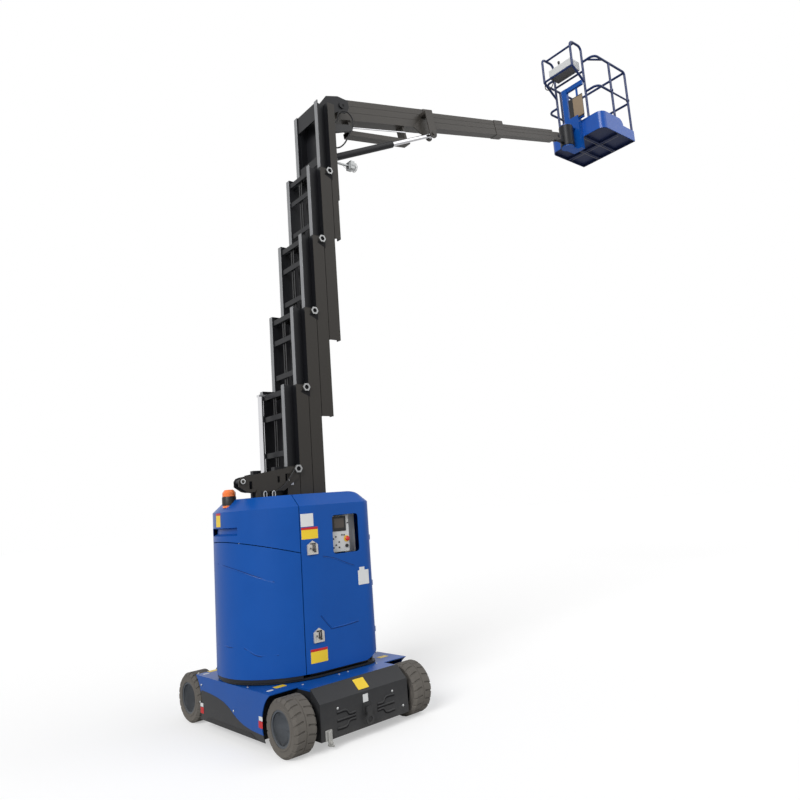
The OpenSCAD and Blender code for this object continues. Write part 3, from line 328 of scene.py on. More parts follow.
def tube(path, radius, sides=10, loop=False):
    """A round tube: circles set square to a path, each frame turned as little as it can be from the one before."""
    path = np.asarray(path, float)
    along = np.roll(path, -1, 0) - np.roll(path, 1, 0) if loop else np.gradient(path, axis=0)
    along /= np.linalg.norm(along, axis=1, keepdims=True)
    side = np.cross(along[0], (0.13, 0.21, 0.97))
    sides_list = []
    for step in along:
        side = side - step * np.dot(side, step)
        side = side / np.linalg.norm(side)
        sides_list.append(side)
    first = np.array(sides_list)
    second = np.cross(along, first)
    turn = 2 * np.pi * np.arange(sides) / sides
    circle = np.cos(turn)[None, :, None] * first[:, None] + np.sin(turn)[None, :, None] * second[:, None]
    rings = path[:, None] + radius * circle
    return skin(rings, loop=loop)


def through(points, steps=8):
    """A smooth curve through given points: between each two, the cubic of them and their two neighbours."""
    p = np.asarray(points, float)
    q = np.vstack([2 * p[0] - p[1], p, 2 * p[-1] - p[-2]])
    t = np.linspace(0, 1, steps, endpoint=False)[None, :, None]
    a, b, c, d = q[:-3, None], q[1:-2, None], q[2:-1, None], q[3:, None]
    curve = b + 0.5 * ((c - a) * t + (2 * a - 5 * b + 4 * c - d) * t ** 2 + (3 * b - a - 3 * c + d) * t ** 3)
    return np.vstack([curve.reshape(-1, 3), p[-1:]])


chassis_turn = math.radians(3.0)


def on_wheels(points):
    """Turns points of the chassis' own axes into the shared frame, by its small angle about the upright axis:
    x cos a - y sin a and x sin a + y cos a."""
    points = np.asarray(points, float)
    turned = points.copy()
    turned[..., 0] = points[..., 0] * math.cos(chassis_turn) - points[..., 1] * math.sin(chassis_turn)
    turned[..., 1] = points[..., 0] * math.sin(chassis_turn) + points[..., 1] * math.cos(chassis_turn)
    return turned


def turned_shape(shape):
    """The same turn for a finished shape."""
    return on_wheels(shape[0]), shape[1]


# Chassis fittings: dome-headed zinc-plated screws hold the covers and the deck plate.
# The finishes of the labels and fittings that follow on the chassis are mixed here too.
label_white = coat("label_white", (0.60, 0.61, 0.61), (0.68, 0.69, 0.69), 0.40, peel=0.02, specular=0.35)
label_yellow = coat("label_yellow", (0.72, 0.50, 0.02), (0.80, 0.57, 0.04), 0.38, peel=0.02, specular=0.35)
label_red = coat("label_red", (0.45, 0.012, 0.015), (0.52, 0.02, 0.02), 0.38, peel=0.02, specular=0.35)
zinc = coat("zinc_plate", (0.42, 0.43, 0.43), (0.56, 0.57, 0.57), 0.36, metallic=1.0, cloud=30.0)
galvanised = coat("galvanised", (0.34, 0.34, 0.33), (0.50, 0.50, 0.48), 0.48,
                  metallic=0.8, cloud=60.0, dust=(0.0, 0.3, 0.3))
# A near-black used as painted shade: in the louvre slots, the nuts' holes, the boom pin hole and under the chain nuts.
shade_black = coat("painted_shade_black", (0.003, 0.003, 0.004), (0.005, 0.005, 0.006), 0.6, specular=0.15)
screw_head = [(0.0, 0.009), (0.0025, 0.009), (0.005, 0.0065), (0.006, 0.003)]
end_y, side_x, deck_top = -0.857, -0.617, 0.396
screws = [spun(screw_head, (x, end_y, z), (0, -1, 0), 12)
          for x, z in ((-0.247, 0.257), (0.242, 0.254), (0.338, 0.130), (-0.332, 0.119))]
screws += [spun(screw_head, (side_x, y, z), (-1, 0, 0), 12) for y, z in ((0.442, 0.330), (-0.077, 0.215), (0.47, 0.20))]
screws += [spun(screw_head, (x, y, deck_top), (0, 0, 1), 12)
           for x, y in ((-0.335, -0.570), (-0.02, -0.570), (0.062, -0.570), (0.335, -0.570), (-0.564, 0.168),
                        (-0.590, -0.250), (0.590, -0.250), (0.564, 0.168), (-0.59, 0.55), (0.59, 0.55))]
lay("chassis_screws", "chassis", zinc, *map(turned_shape, screws))

# The driven end's cover has six louvres pressed into it, three to a side, in the cover's own sheet.
# Each rib steps from its outer end to a straight run near the middle, with a dark line just below it as painted shade
# of the slot.
louvre_paths = []
for s in (-1, 1):
    for top, middle, bottom in ((0.232, 0.232, 0.202), (0.180, 0.180, 0.180), (0.128, 0.128, 0.158)):
        louvre_paths.append([(s * 0.255, end_y, top), (s * 0.180, end_y, middle),
                             (s * 0.150, end_y, bottom), (s * 0.098, end_y, bottom)])
louvres = [turned_shape(tube(through(p, 5), 0.0065, 8)) for p in louvre_paths]
lay("end_louvre_ribs", "chassis", charcoal_cover, *louvres)
louvre_shade_lines = [turned_shape(tube(through(np.array(p) - (0, 0.0015, 0.009), 5), 0.0042, 6)) for p in louvre_paths]
lay("end_louvre_shade", "chassis", shade_black, *louvre_shade_lines)

X, Y, Z = np.eye(3)


# Blank vinyl labels on end, sides and deck: cut film with round corners, white, red or yellow, stuck on flat.
# They keep their places and colours, and nothing is printed on them.
def sticker(width, height, radius, at, across=X, up=Z, thick=0.0008, edge=0.0002):
    """A label: a plate of a rectangle with round corners, only as thick as its film."""
    return plate(oblong(width, height, radius), at, across, up, thick, edge)


seat = 0.0002
end_slope = np.array((0.0, -0.773, -0.634))
lay("end_labels_white", "chassis", label_white,
    turned_shape(sticker(0.046, 0.054, 0.003, (-0.004, end_y - seat, 0.267))),
    *[turned_shape(sticker(0.05, 0.028, 0.002, (side_x - seat, y, z), -Y))
      for y, z in ((0.443, 0.182), (-0.466, 0.224))],
    *[turned_shape(sticker(0.05, 0.03, 0.014, (x, y, deck_top + seat), X, Y))
      for x, y in ((-0.552, -0.492), (-0.56, 0.474))])
lay("side_labels_red", "chassis", label_red,
    *[turned_shape(sticker(0.054, 0.046, 0.002, (side_x - seat, y, z), -Y))
      for y, z in ((0.440, 0.142), (-0.463, 0.184))])
lay("deck_labels_yellow", "chassis", label_yellow,
    turned_shape(sticker(0.095, 0.092, 0.004, (0.0, -0.8042, 0.3568), X, -end_slope)),
    *[turned_shape(sticker(0.085, 0.055, 0.002, (x, y, deck_top + seat), X, Y))
      for x, y in ((-0.452, -0.455), (-0.476, 0.522), (0.511, -0.43), (0.476, 0.522))])

# A galvanised latch hangs at the driven end's near lower corner: plate, lever, pivot and a short pin.
# They are thick zinc-coated steel, laid one on the other.
lay("corner_latch", "chassis", galvanised,
    turned_shape(plate(oblong(0.055, 0.07, 0.008), (-0.33, end_y - 0.0003, 0.105), X, Z, 0.005, 0.001)),
    turned_shape(plate(oblong(0.030, 0.10, 0.010), (-0.325, end_y - 0.006, 0.085), X, Z, 0.010, 0.002)),
    turned_shape(spun([(0, 0.012), (0.012, 0.012), (0.014, 0.008)], (-0.325, end_y - 0.016, 0.060), (0, -1, 0), 16)),
    turned_shape(spun([(0, 0.007), (0.05, 0.007), (0.052, 0.004)], (-0.345, end_y - 0.014, 0.050), (1, 0, -0.4), 12)))

# The blue of each side sweeps down in an S over the dark cover, on both sides of the machine.
# A dark plate fills the cover's step and a blue one follows below it, both of thin painted sheet.
swept_dark = [(y / 1000, z / 1000) for y, z in (
    (-110, 176.7), (-77, 191), (-10, 226), (72, 255), (180, 274), (304, 286), (440, 292),
    (455, 270), (450, 262.5), (300, 239.5), (0, 193.5))]
swept_blue = [(y / 1000, z / 1000) for y, z in (
    (-470, 121.5), (-110, 176.7), (-160, 158), (-220, 142), (-330, 126), (-470, 118.5))]
sweep_thick, sweep_edge = 0.0012, 0.0003
for name, outline, start, finish in (("side_sweep_dark", swept_dark, 0.6171, charcoal_cover),
                                     ("side_sweep_blue", swept_blue, 0.6160, blue_deck)):
    mirrored = [(-y, z) for y, z in outline]
    lay(name, "chassis", finish,
        turned_shape(plate(mirrored, (-start, 0, 0), -Y, Z, sweep_thick, sweep_edge)),
        turned_shape(plate(outline, (start, 0, 0), Y, Z, sweep_thick, sweep_edge)))

# A dark kick strip runs along the foot of each side cover.
# It is one long trapezoid of charcoal sheet with a chamfered edge.
sill = [(0.40, 0.0745), (0.33, 0.106), (-0.33, 0.106), (-0.40, 0.0745)]
sill_x = 0.6162
lay("sill_strips", "chassis", charcoal,
    *[turned_shape(plate(sill, (s * sill_x, 0, 0), s * Y, Z, 0.0035, 0.001)) for s in (-1, 1)])

# Solid tyres: non-marking grey rubber moulded with staggered shoulder lugs, pressed onto steel rims.
# The rims are deep grey dishes; a black hub motor or hub cap with its ring of bolts sits at the bottom of each.
tyre_rubber = coat("tyre_rubber", (0.085, 0.078, 0.070), (0.125, 0.115, 0.103), 0.80, peel=0.5,
                   dust=(0.0, 0.42, 0.30), dusty=(0.26, 0.235, 0.20), specular=0.25)
rim_paint = coat("rim_paint", (0.050, 0.060, 0.073), (0.074, 0.086, 0.102), 0.50, dust=(0.0, 0.4, 0.30), specular=0.35)
hub_black = coat("hub_black", (0.010, 0.010, 0.011), (0.022, 0.022, 0.023), 0.40, dust=(0.0, 0.4, 0.12), specular=0.4)
hub_bolt = coat("hub_bolt", (0.06, 0.06, 0.062), (0.11, 0.11, 0.112), 0.4, metallic=0.6, dust=(0.0, 0.4, 0.12))
tyre_r, half_w, bore_r, hub_z = 0.193, 0.0875, 0.1221, 0.193
wheel_x, wheel_y = 0.5225, 0.704
bolt_head = [(0, 0.0085), (0.007, 0.0085), (0.009, 0.006)]
wheel_nut = [(0, 0.0125), (0.010, 0.0125), (0.012, 0.009), (0.018, 0.006)]
hub_dish = [(-0.0005, 0.1076), (0.0015, 0.1076), (0.0040, 0.1030), (0.0058, 0.0860), (0.0035, 0.0620), (0.0075, 0.0545),
            (0.0225, 0.0535), (0.0258, 0.0500), (0.0262, 0.0230), (0.0300, 0.0210), (0.0306, 0.0120)]
rim_lip = [(0.0, 0.1085), (0.004, 0.1085), (0.007, 0.112), (0.009, 0.118), (0.0095, 0.1215), (0.004, 0.1218),
           (0.0, 0.1218)]


def tread(lugs=20, per=16, deep=0.008):
    """A lugged tyre about the X axis: a closed outline carried round the axle, its radius cut by a groove depth
    wherever the turn falls in a groove, with the two halves' grooves half a lug apart and swept back with width."""
    shoulder = half_w - 0.0184
    across = np.array([-shoulder, -0.055, -0.040, -0.026, -0.0165, -0.0145, -0.004, -0.0028, 0.0028, 0.004,
                       0.0145, 0.0165, 0.026, 0.040, 0.055, shoulder])
    w = np.concatenate([[-half_w, -half_w, -half_w + 0.004, -half_w + 0.004, -half_w], across,
                        [half_w, half_w - 0.004, half_w - 0.004, half_w, half_w]])
    low = tyre_r - 0.0184
    r = np.concatenate([[bore_r, bore_r + 0.014, bore_r + 0.018, low - 0.016, low], np.full(len(across), tyre_r),
                        [low, low - 0.016, bore_r + 0.018, bore_r + 0.014, bore_r]])
    count = lugs * per
    k = np.arange(count)[:, None]
    phase = np.where(w[None, :] < 0, k, k + per // 2) % per
    cut = (np.abs(phase - per / 2) <= 1.2) & (np.abs(w)[None, :] > 0.0150) & (r[None, :] > low - 0.001)
    ring = (np.abs(w) < 0.003)[None, :] & (r[None, :] > low)
    radius = r[None, :] - deep * cut - 0.0035 * ring
    turn = 2 * np.pi * k / count + 0.10 * (np.abs(w) / half_w) ** 2
    rings = np.stack([np.broadcast_to(w, radius.shape), radius * np.cos(turn), radius * np.sin(turn)], -1)
    return skin(rings, loop=True)


lugged, lug_faces = tread()
bolt_ring = [(math.cos(a), math.sin(a)) for a in np.radians(np.arange(0, 360, 45))]
nut_ring = [(math.cos(a), math.sin(a)) for a in np.radians(np.arange(0, 360, 72))]
for corner, sx, sy in (("front_left", -1, 1), ("front_right", 1, 1), ("rear_left", -1, -1), ("rear_right", 1, -1)):
    place = np.array((sx * wheel_x, sy * wheel_y, hub_z))
    body = "wheel_" + corner
    faces = lug_faces if sx > 0 else [b[:, ::-1] for b in lug_faces]
    tyre = lay("lugged_tyre_" + corner, body, tyre_rubber, (on_wheels(lugged * (sx, 1, 1) + place), faces), sharp=28)
    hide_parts("tyre_" + corner)
    finish_nodes(rim_paint, "rim_" + corner)
    face = place + (sx * 0.022, 0, 0)
    out = (sx, 0, 0)
    bolts = [turned_shape(spun(bolt_head, face + (sx * 0.024, 0.036 * c, 0.036 * d), out, 6)) for c, d in bolt_ring]
    nuts = [turned_shape(spun(wheel_nut, face + (sx * 0.0122, 0.072 * c, 0.072 * d), out, 6)) for c, d in nut_ring]
    lay("hub_dish_" + corner, body, hub_black, turned_shape(spun(hub_dish, face, out, 48)))
    lay("hub_bolts_" + corner, body, hub_bolt, *bolts, *nuts)
    lay("rim_lip_" + corner, body, rim_paint, turned_shape(spun(rim_lip, place + (sx * 0.0722, 0, 0), out, 64)))

# The turret cowl: rotationally moulded covers in the same blue enamel, with two hinged side doors.
# Soft creases are moulded into tail and door; cast latches and blank vinyl labels are fixed to the outside.
finish_nodes(blue_enamel, "tail_hood", "tail_cap", "pod_frames", "door_near", "door_far")
cast_pale = coat("cast_latch", (0.46, 0.44, 0.41), (0.60, 0.58, 0.54), 0.45, metallic=0.35, cloud=40.0)
finish_nodes(cast_pale, "latches_near", "latches_far")
# A dark blue used as painted shade along the moulded creases.
crease_shade_blue = coat("crease_shadow_blue", (0.002, 0.016, 0.09), (0.003, 0.022, 0.11), 0.5, specular=0.2)
tail_x, tail_r = -0.085, 0.551


def on_tail(degrees, height, stand=0.0):
    """Points of the round tail: its upright cylinder's angle and height, a little out from the wall or into it."""
    a = np.radians(np.asarray(degrees, float))
    r = tail_r + stand
    return np.stack([tail_x + r * np.cos(a), r * np.sin(a), np.broadcast_to(height, a.shape)], -1)


def wrapped(a0, a1, z0, z1, thick=0.0009, steps=14):
    """A label bent round the tail: four corners, low and high, inner and outer, at equal steps of the angle."""
    a = np.linspace(a0, a1, steps + 1)
    corners = ((z0, 0.0001), (z1, 0.0001), (z1, thick), (z0, thick))
    return skin(np.stack([on_tail(a, z, r) for z, r in corners], 1))


door_y, fine = -0.5511, 0.0001
lay("door_label_white", "door_near", label_white, wrapped(254.9, 265.4, 1.494, 1.590))
lay("door_label_yellow", "door_near", label_yellow,
    wrapped(255.1, 268.9, 1.401, 1.470), wrapped(258.0, 269.9, 0.508, 0.588),
    sticker(0.022, 0.08, 0.0004, (-0.0746, door_y, 0.548), edge=fine))
lay("door_label_red", "door_near", label_red,
    wrapped(255.1, 268.9, 1.4702, 1.488), wrapped(258.0, 269.9, 0.5882, 0.606),
    sticker(0.022, 0.0178, 0.0004, (-0.0746, door_y, 0.5971), edge=fine))
lay("tail_label_yellow", "turret", label_yellow, wrapped(174.5, 183.0, 1.541, 1.628))
lay("tail_label_red", "turret", label_red, wrapped(174.5, 183.0, 1.6282, 1.645))

# Behind the cap's hand slot lies a moulded trough in the same enamel, its floor sloping in and up.
# One closed profile of its shell is carried round the tail along the whole slot.
slot_turn = np.linspace(153, 207, 33)
trough = [(-0.0015, 1.4705), (-0.034, 1.484), (-0.034, 1.520), (-0.0015, 1.5295),
          (-0.0045, 1.5325), (-0.037, 1.523), (-0.037, 1.481), (-0.0045, 1.4675)]
lay("cap_trough", "turret", blue_enamel, skin(np.stack([on_tail(slot_turn, z, r) for r, z in trough], 1)))

# Two more white labels sit low on the door's front, one of them bent round its upright corner.
# The corner is a quarter cylinder, and its label is made from points on it.
corner_at, corner_in = np.array((0.327, -0.431)), 0.120


def corner_label(a0, a1, z0, z1, thick=0.0009, steps=10):
    """A label bent round the door's upright front corner, made as the tail's are, at that corner's radius."""
    a = np.radians(np.linspace(a0, a1, steps + 1))
    edge = [(corner_in + s, z) for s, z in ((0.0001, z0), (0.0001, z1), (thick, z1), (thick, z0))]
    return skin(np.stack([np.stack([corner_at[0] + r * np.cos(a), corner_at[1] + r * np.sin(a), np.full_like(a, z)], -1)
                          for r, z in edge], 1))


lay("front_label_white", "door_near", label_white, corner_label(270, 279.5, 1.008, 1.118),
    sticker(0.081, 0.110, 0.0004, (0.2865, door_y, 1.063), thick=0.0009, edge=fine),
    sticker(0.048, 0.024, 0.0004, (0.2845, door_y, 1.130), thick=0.0009, edge=fine))

# Creases: soft folds moulded into tail and door. A dark line of painted shade runs along each fold, and a raised lip of
# the wall's own enamel beside it catches the lamps.
# Both lines are thin tubes let into the wall, so that only their outer part stands out.
crease_r, lip_r, crease_y = 0.0026, 0.0042, -0.5496
lip_off = np.array((0, 0, 0.0062))
folds = [through(on_tail(a, 0.0, -0.0012) + np.array(z)[:, None] * Z, 10) for a, z in (
    ([176, 190, 205, 219, 233], [1.266, 1.247, 1.212, 1.165, 1.117]),
    ([172, 190, 207], [0.664, 0.663, 0.657]), ([207, 219, 234], [0.657, 0.602, 0.600]))]
lay("tail_crease_shade", "turret", crease_shade_blue, *[tube(f, crease_r, 8) for f in folds])
lay("tail_crease_lips", "turret", blue_enamel, tube(folds[0] - lip_off, lip_r, 8),
    *[tube(f + lip_off, lip_r, 8) for f in folds[1:]])
fold_a, fold_b, fold_c = [through([(x, crease_y, z) for x, z in fold], 8) for fold in (
    [(-0.064, 1.264), (0.04, 1.238), (0.135, 1.196), (0.215, 1.163)],
    [(-0.104, 0.838), (-0.055, 0.776), (-0.012, 0.724)],
    [(-0.012, 0.724), (0.11, 0.728), (0.225, 0.739)])]
lay("door_crease_shade", "door_near", crease_shade_blue,
    *[tube(f, crease_r, 8) for f in (fold_a, fold_b - (0.004, 0, 0.004), fold_c)])
lay("door_crease_lips", "door_near", blue_enamel, tube(fold_a - lip_off, lip_r, 8),
    tube(fold_b + (0.003, 0, 0.004), 0.0045, 8), tube(fold_c + lip_off, 0.0045, 8))

# Latch handles: a black folded pull in each of the door's two cast plates, moulded in plastic.
# Each is made of five short bars with chamfered edges.
handle_black = coat("moulded_black", (0.008, 0.008, 0.009), (0.016, 0.016, 0.017), 0.42, specular=0.35)
handles = []
for x, z in ((-0.143, 1.335), (-0.127, 0.700)):
    handles += [plate(oblong(w, h, 0.002), (x + dx, -0.5572, z + dz), X, Z, 0.004, 0.001) for dx, dz, w, h in
                ((-0.004, 0.030, 0.046, 0.008), (0.012, 0.0, 0.009, 0.062), (-0.004, -0.002, 0.008, 0.050),
                 (0.012, -0.030, 0.016, 0.008), (-0.024, -0.004, 0.008, 0.012))]
lay("latch_handles", "door_near", handle_black, *handles)

# Ground control panel: a folded pale steel plate in the door's pocket, with a screen, red stop and small buttons.
# Its frame and buttons are black plastic, and the stop is a red mushroom head on a yellow ring.
panel_white = coat("panel_white", (0.56, 0.57, 0.57), (0.64, 0.65, 0.65), 0.45, specular=0.35)
screen_glass = coat("screen_glass", (0.050, 0.040, 0.034), (0.080, 0.064, 0.054), 0.12, peel=0.0, cloud=8.0)
stop_red = coat("stop_red", (0.50, 0.012, 0.012), (0.60, 0.02, 0.018), 0.30, peel=0.0)
finish_nodes(panel_white, "ground_control")
lay("panel_back", "turret", panel_white,
    plate(oblong(0.105, 0.312, 0.010), (0.2575, -0.4400, 1.417), X, Z, 0.003, 0.001))
face_y = -0.5052
lay("panel_screen_frame", "turret", handle_black,
    plate(oblong(0.128, 0.116, 0.006), (0.122, face_y, 1.492), X, Z, 0.006, 0.002),
    spun([(0, 0.013), (0.010, 0.013), (0.013, 0.010)], (0.186, face_y, 1.318), -Y, 20),
    *[spun([(0, 0.006), (0.004, 0.006), (0.006, 0.004)], (x, face_y, z), -Y, 12)
      for x, z in ((0.203, 1.493), (0.118, 1.351), (0.090, 1.393), (0.146, 1.404), (0.166, 1.402), (0.068, 1.378),
                   (0.090, 1.330), (0.068, 1.310), (0.118, 1.310))])
lay("panel_screen", "turret", screen_glass,
    plate(oblong(0.090, 0.074, 0.003), (0.122, face_y - 0.006, 1.496), X, Z, 0.0012, 0.0005))
stop_button = [(0, 0.011), (0.010, 0.011), (0.011, 0.018), (0.018, 0.019), (0.023, 0.015), (0.025, 0.008)]
stop_at = (0.188, face_y, 1.372)
lay("panel_stop", "turret", stop_red, spun(stop_button, stop_at, -Y, 28))
lay("panel_stop_ring", "turret", label_yellow, spun([(0, 0.025), (0.0010, 0.025), (0.0014, 0.0235)], stop_at, -Y, 28))

# The flashing beacon: a ribbed amber lens on a black foot, bolted through the tail cap.
# The lens is clear coloured plastic, and three rings are moulded round it.
amber = coat("amber_lens", (0.78, 0.13, 0.008), (0.95, 0.22, 0.02), 0.22, clear=0.5)
finish_nodes(amber, "beacon")
beacon_at = (-0.560, -0.030, 0.0)
lay("beacon_ribs", "turret", amber,
    *[spun([(h, 0.0502), (h + 0.0018, 0.0514), (h + 0.0046, 0.0514), (h + 0.0064, 0.0502)], beacon_at, Z, 48)
      for h in (1.770, 1.779, 1.788)])
lay("beacon_foot", "turret", handle_black, spun([(1.700, 0.0535), (1.762, 0.0535), (1.768, 0.0505)], beacon_at, Z, 40))

# The brace behind the mast's foot: black plates with a silver cross tube, a blank plate and a cable on its face.
# Mast and brace are painted alike; the flat outer faces of rails and plates get a lighter, warmer grey as painted
# light, the light they catch beside the shaded recesses.
def by_side(finish, beyond, colour):
    """Gives a finish another base colour where the piece's own Y lies further from the middle than a limit."""
    tree = finish.node_tree
    where = tree.nodes.new("ShaderNodeTexCoord")
    apart = tree.nodes.new("ShaderNodeSeparateXYZ")
    sideways = value_of(tree, "ShaderNodeMath", operation="ABSOLUTE")
    outside = value_of(tree, "ShaderNodeMath", operation="GREATER_THAN")
    outside.inputs[1].default_value = beyond
    two_tone = value_of(tree, "ShaderNodeMix", data_type="RGBA")
    two_tone.inputs[7].default_value = (*colour, 1)
    paint_in = tree.nodes["Principled BSDF"].inputs["Base Color"]
    tree.links.new(where.outputs["Object"], apart.inputs[0])
    tree.links.new(apart.outputs["Y"], sideways.inputs[0])
    tree.links.new(sideways.outputs[0], outside.inputs[0])
    tree.links.new(outside.outputs[0], two_tone.inputs[0])
    tree.links.new(paint_in.links[0].from_socket, two_tone.inputs[6])
    tree.links.new(two_tone.outputs[2], paint_in)


mast_paint = coat("mast_paint", (0.006, 0.0065, 0.008), (0.012, 0.0125, 0.015), 0.40,
                  peel=0.06, specular=0.22, cloud=2.0)
# Painted light: the outer faces are made lighter than the same paint in the recesses.
by_side(mast_paint, 0.2255, (0.030, 0.027, 0.0235))
# A pale grey used as painted sheen on the rear flanges' faces.
flange_sheen_paint = coat("flange_painted_sheen", (0.17, 0.175, 0.182), (0.26, 0.265, 0.275), 0.32, metallic=0.35, peel=0.05, cloud=5.0)
finish_nodes(mast_paint, "mast_section_1", "mast_section_2", "mast_section_3", "mast_section_4",
             "mast_section_5", "mast_section_6", "mast_brace", "lift_barrel")
lay("brace_tube_ring", "turret", zinc,
    spun([(0.0, 0.0195), (0.0012, 0.0195), (0.0016, 0.0185), (0.0016, 0.0130), (0.0002, 0.0125)],
         (-0.545, -0.2548, 1.868), -Y, 36))
rail_side = 0.2281
lay("brace_blank_plate", "turret", label_white,
    plate([(-0.172, 1.826), (-0.100, 1.826), (-0.104, 1.884), (-0.137, 1.876)], (0, -rail_side, 0), X, Z,
          0.0010, 0.0003))
cable = through([(-0.100, -0.2515, 1.950), (-0.130, -0.2525, 1.905), (-0.168, -0.2525, 1.856), (-0.205, -0.2520, 1.818),
                 (-0.248, -0.2515, 1.792), (-0.285, -0.2505, 1.776)], 6)
lay("brace_cable", "turret", handle_black, tube(cable, 0.0048, 10))
stud_y, stud_half = -0.2535, 0.012
studs = [[(x - stud_half, stud_y, 1.7435), (x - stud_half, stud_y, 1.772), (x, stud_y, 1.786),
          (x + stud_half, stud_y, 1.772), (x + stud_half, stud_y, 1.7435)] for x in (-0.365, -0.292)]
lay("brace_studs", "turret", zinc, *[tube(through(stud, 5), 0.0035, 8) for stud in studs])

# The mast: six rolled steel sections in satin black, each sliding in the one before it.
# Pale strips on the rear flanges are a painted sheen of the satin paint, and a dark patch below each chain nut is a
# painted shadow.
mast_bodies = ["turret", "mast_2", "mast_3", "mast_4", "mast_5", "mast_6"]
rear = [-0.258 + 0.118 * n for n in range(6)]
tops = [1.974 + 0.676 * n for n in range(6)]
for n in range(1, 6):
    low = tops[n - 1] - 0.30
    high = tops[n] if n < 5 else 5.354
    strip = oblong(0.049, high - low - 0.004, 0.001)
    lay("flange_sheen_%d" % (n + 1), mast_bodies[n], flange_sheen_paint,
        *[plate(strip, (rear[n] - 0.0001, s * 0.1865, (low + high) / 2), -Y, Z, 0.0005, 0.0002) for s in (-1, 1)])
# Below each chain nut a dark patch stands as painted shadow of the web's chamfer.
nut_shadow_shape = [(-0.049, -0.040), (0.036, -0.080), (0.036, -0.020), (-0.030, -0.018)]
nut_ahead, nut_drop = 0.195, 0.022
for n in range(2, 6):
    nut_x, nut_z = rear[n - 1] + nut_ahead, tops[n - 1] - nut_drop
    lay("nut_shadow_%d" % n, mast_bodies[n - 1], shade_black,
        plate(nut_shadow_shape, (nut_x, -rail_side, nut_z), X, Z, 0.0006, 0.0002),
        plate([(x, -z) for x, z in nut_shadow_shape], (nut_x, rail_side, nut_z), X, -Z, 0.0006, 0.0002))

# Lifting chains: oiled leaf chain, each strand a stack of link plates on pins, over a sheave at each section's head.
# The big adjuster nuts outside the rails are bright zinc, while the chain itself is nearly black with grease.
chain_oiled = coat("chain_oiled", (0.030, 0.030, 0.031), (0.060, 0.060, 0.062), 0.38, metallic=0.9, cloud=60.0)
by_side(chain_oiled, 0.2265, (0.30, 0.305, 0.305))
finish_nodes(chain_oiled, "chains_1", "chains_2", "chains_3", "chains_4", "chains_5")
# A dark disc in each adjuster nut's hole is painted shade.
bore = [(0, 0.0188), (0.0006, 0.0188)]
lay("nut_hole_shade", "turret", shade_black,
    *[spun(bore, (rear[0] + nut_ahead, s * 0.2452, tops[0] - nut_drop), s * Y, 24) for s in (-1, 1)])
for n in range(2, 6):
    lay("nut_bores_%d" % n, mast_bodies[n - 1], shade_black,
        *[spun(bore, (rear[n - 1] + nut_ahead, s * 0.2332, tops[n - 1] - nut_drop), s * Y, 24) for s in (-1, 1)])
pitch = 0.015875
link = plate(oblong(0.0175, 0.0125, 0.005, 2), (0, 0, 0), -Y, Z, 0.0011, 0.0004)
for n in range(1, 6):
    bottom = tops[n - 1] - (1.558 if n == 1 else 1.614) + (0.20 if n == 1 else 0.10)
    heights = np.arange(bottom, tops[n - 1] - 0.105, pitch)
    places = np.stack([np.full(len(heights), rear[n - 1] + 0.0239), np.zeros(len(heights)), heights], -1)
    lay("chain_links_%d" % n, mast_bodies[n - 1], chain_oiled,
        *[repeated(link, places + (0, strand, 0)) for strand in (-0.017, 0.017)])

# The mast head: cheek plates carry the boom pin, and a cylinder with a chromed rod lifts the boom.
# A black hose loops from the near rail's lip back to it, through a moulded bundle beside the cheek.
# The hose is made here alone, outside the cheek, where it stays clear of the cylinder.
finish_nodes(mast_paint, "luff_barrel")
chrome_rod = coat("chrome_rod", (0.62, 0.62, 0.64), (0.72, 0.72, 0.74), 0.12, metallic=1.0, peel=0.0)
finish_nodes(chrome_rod, "lift_rod", "luff_rod")
hose_rubber = coat("hose_rubber", (0.010, 0.010, 0.011), (0.018, 0.018, 0.019), 0.55,
                   peel=0.3, cloud=20.0, specular=0.3)


def hose(name, body, points, thick, steps=10):
    """A hose: a round tube on the smooth curve through its points."""
    line = through(points, steps)
    piece = lay(name, body, hose_rubber, tube(line, thick / 2, 12))
    return piece


lay("boom_pipe", "boom_base", chrome_rod,
    tube(through([(0.814, -0.0565, 5.298), (1.160, -0.0565, 5.3805), (1.505, -0.0565, 5.463)], 6), 0.007, 10))
bundle = [(0.5103, 5.192), (0.5103, 5.106), (0.548, 5.099), (0.725, 5.168), (0.737, 5.192),
          (0.722, 5.222), (0.700, 5.226), (0.640, 5.212), (0.548, 5.186)]
hose_bundle = lay("hose_block", "mast_6", handle_black, plate(bundle, (0, -0.1745, 0), X, Z, 0.020, 0.003))
route = [(0.511, 5.196), (0.538, 5.203), (0.560, 5.222), (0.571, 5.250), (0.575, 5.287), (0.593, 5.325),
         (0.635, 5.353), (0.688, 5.355), (0.730, 5.326), (0.748, 5.277), (0.738, 5.218), (0.708, 5.156),
         (0.675, 5.090), (0.636, 5.022), (0.590, 4.972), (0.549, 4.948), (0.511, 4.942)]
hose("head_hose", "mast_6", [(x, -0.185, z) for x, z in route], 0.014)

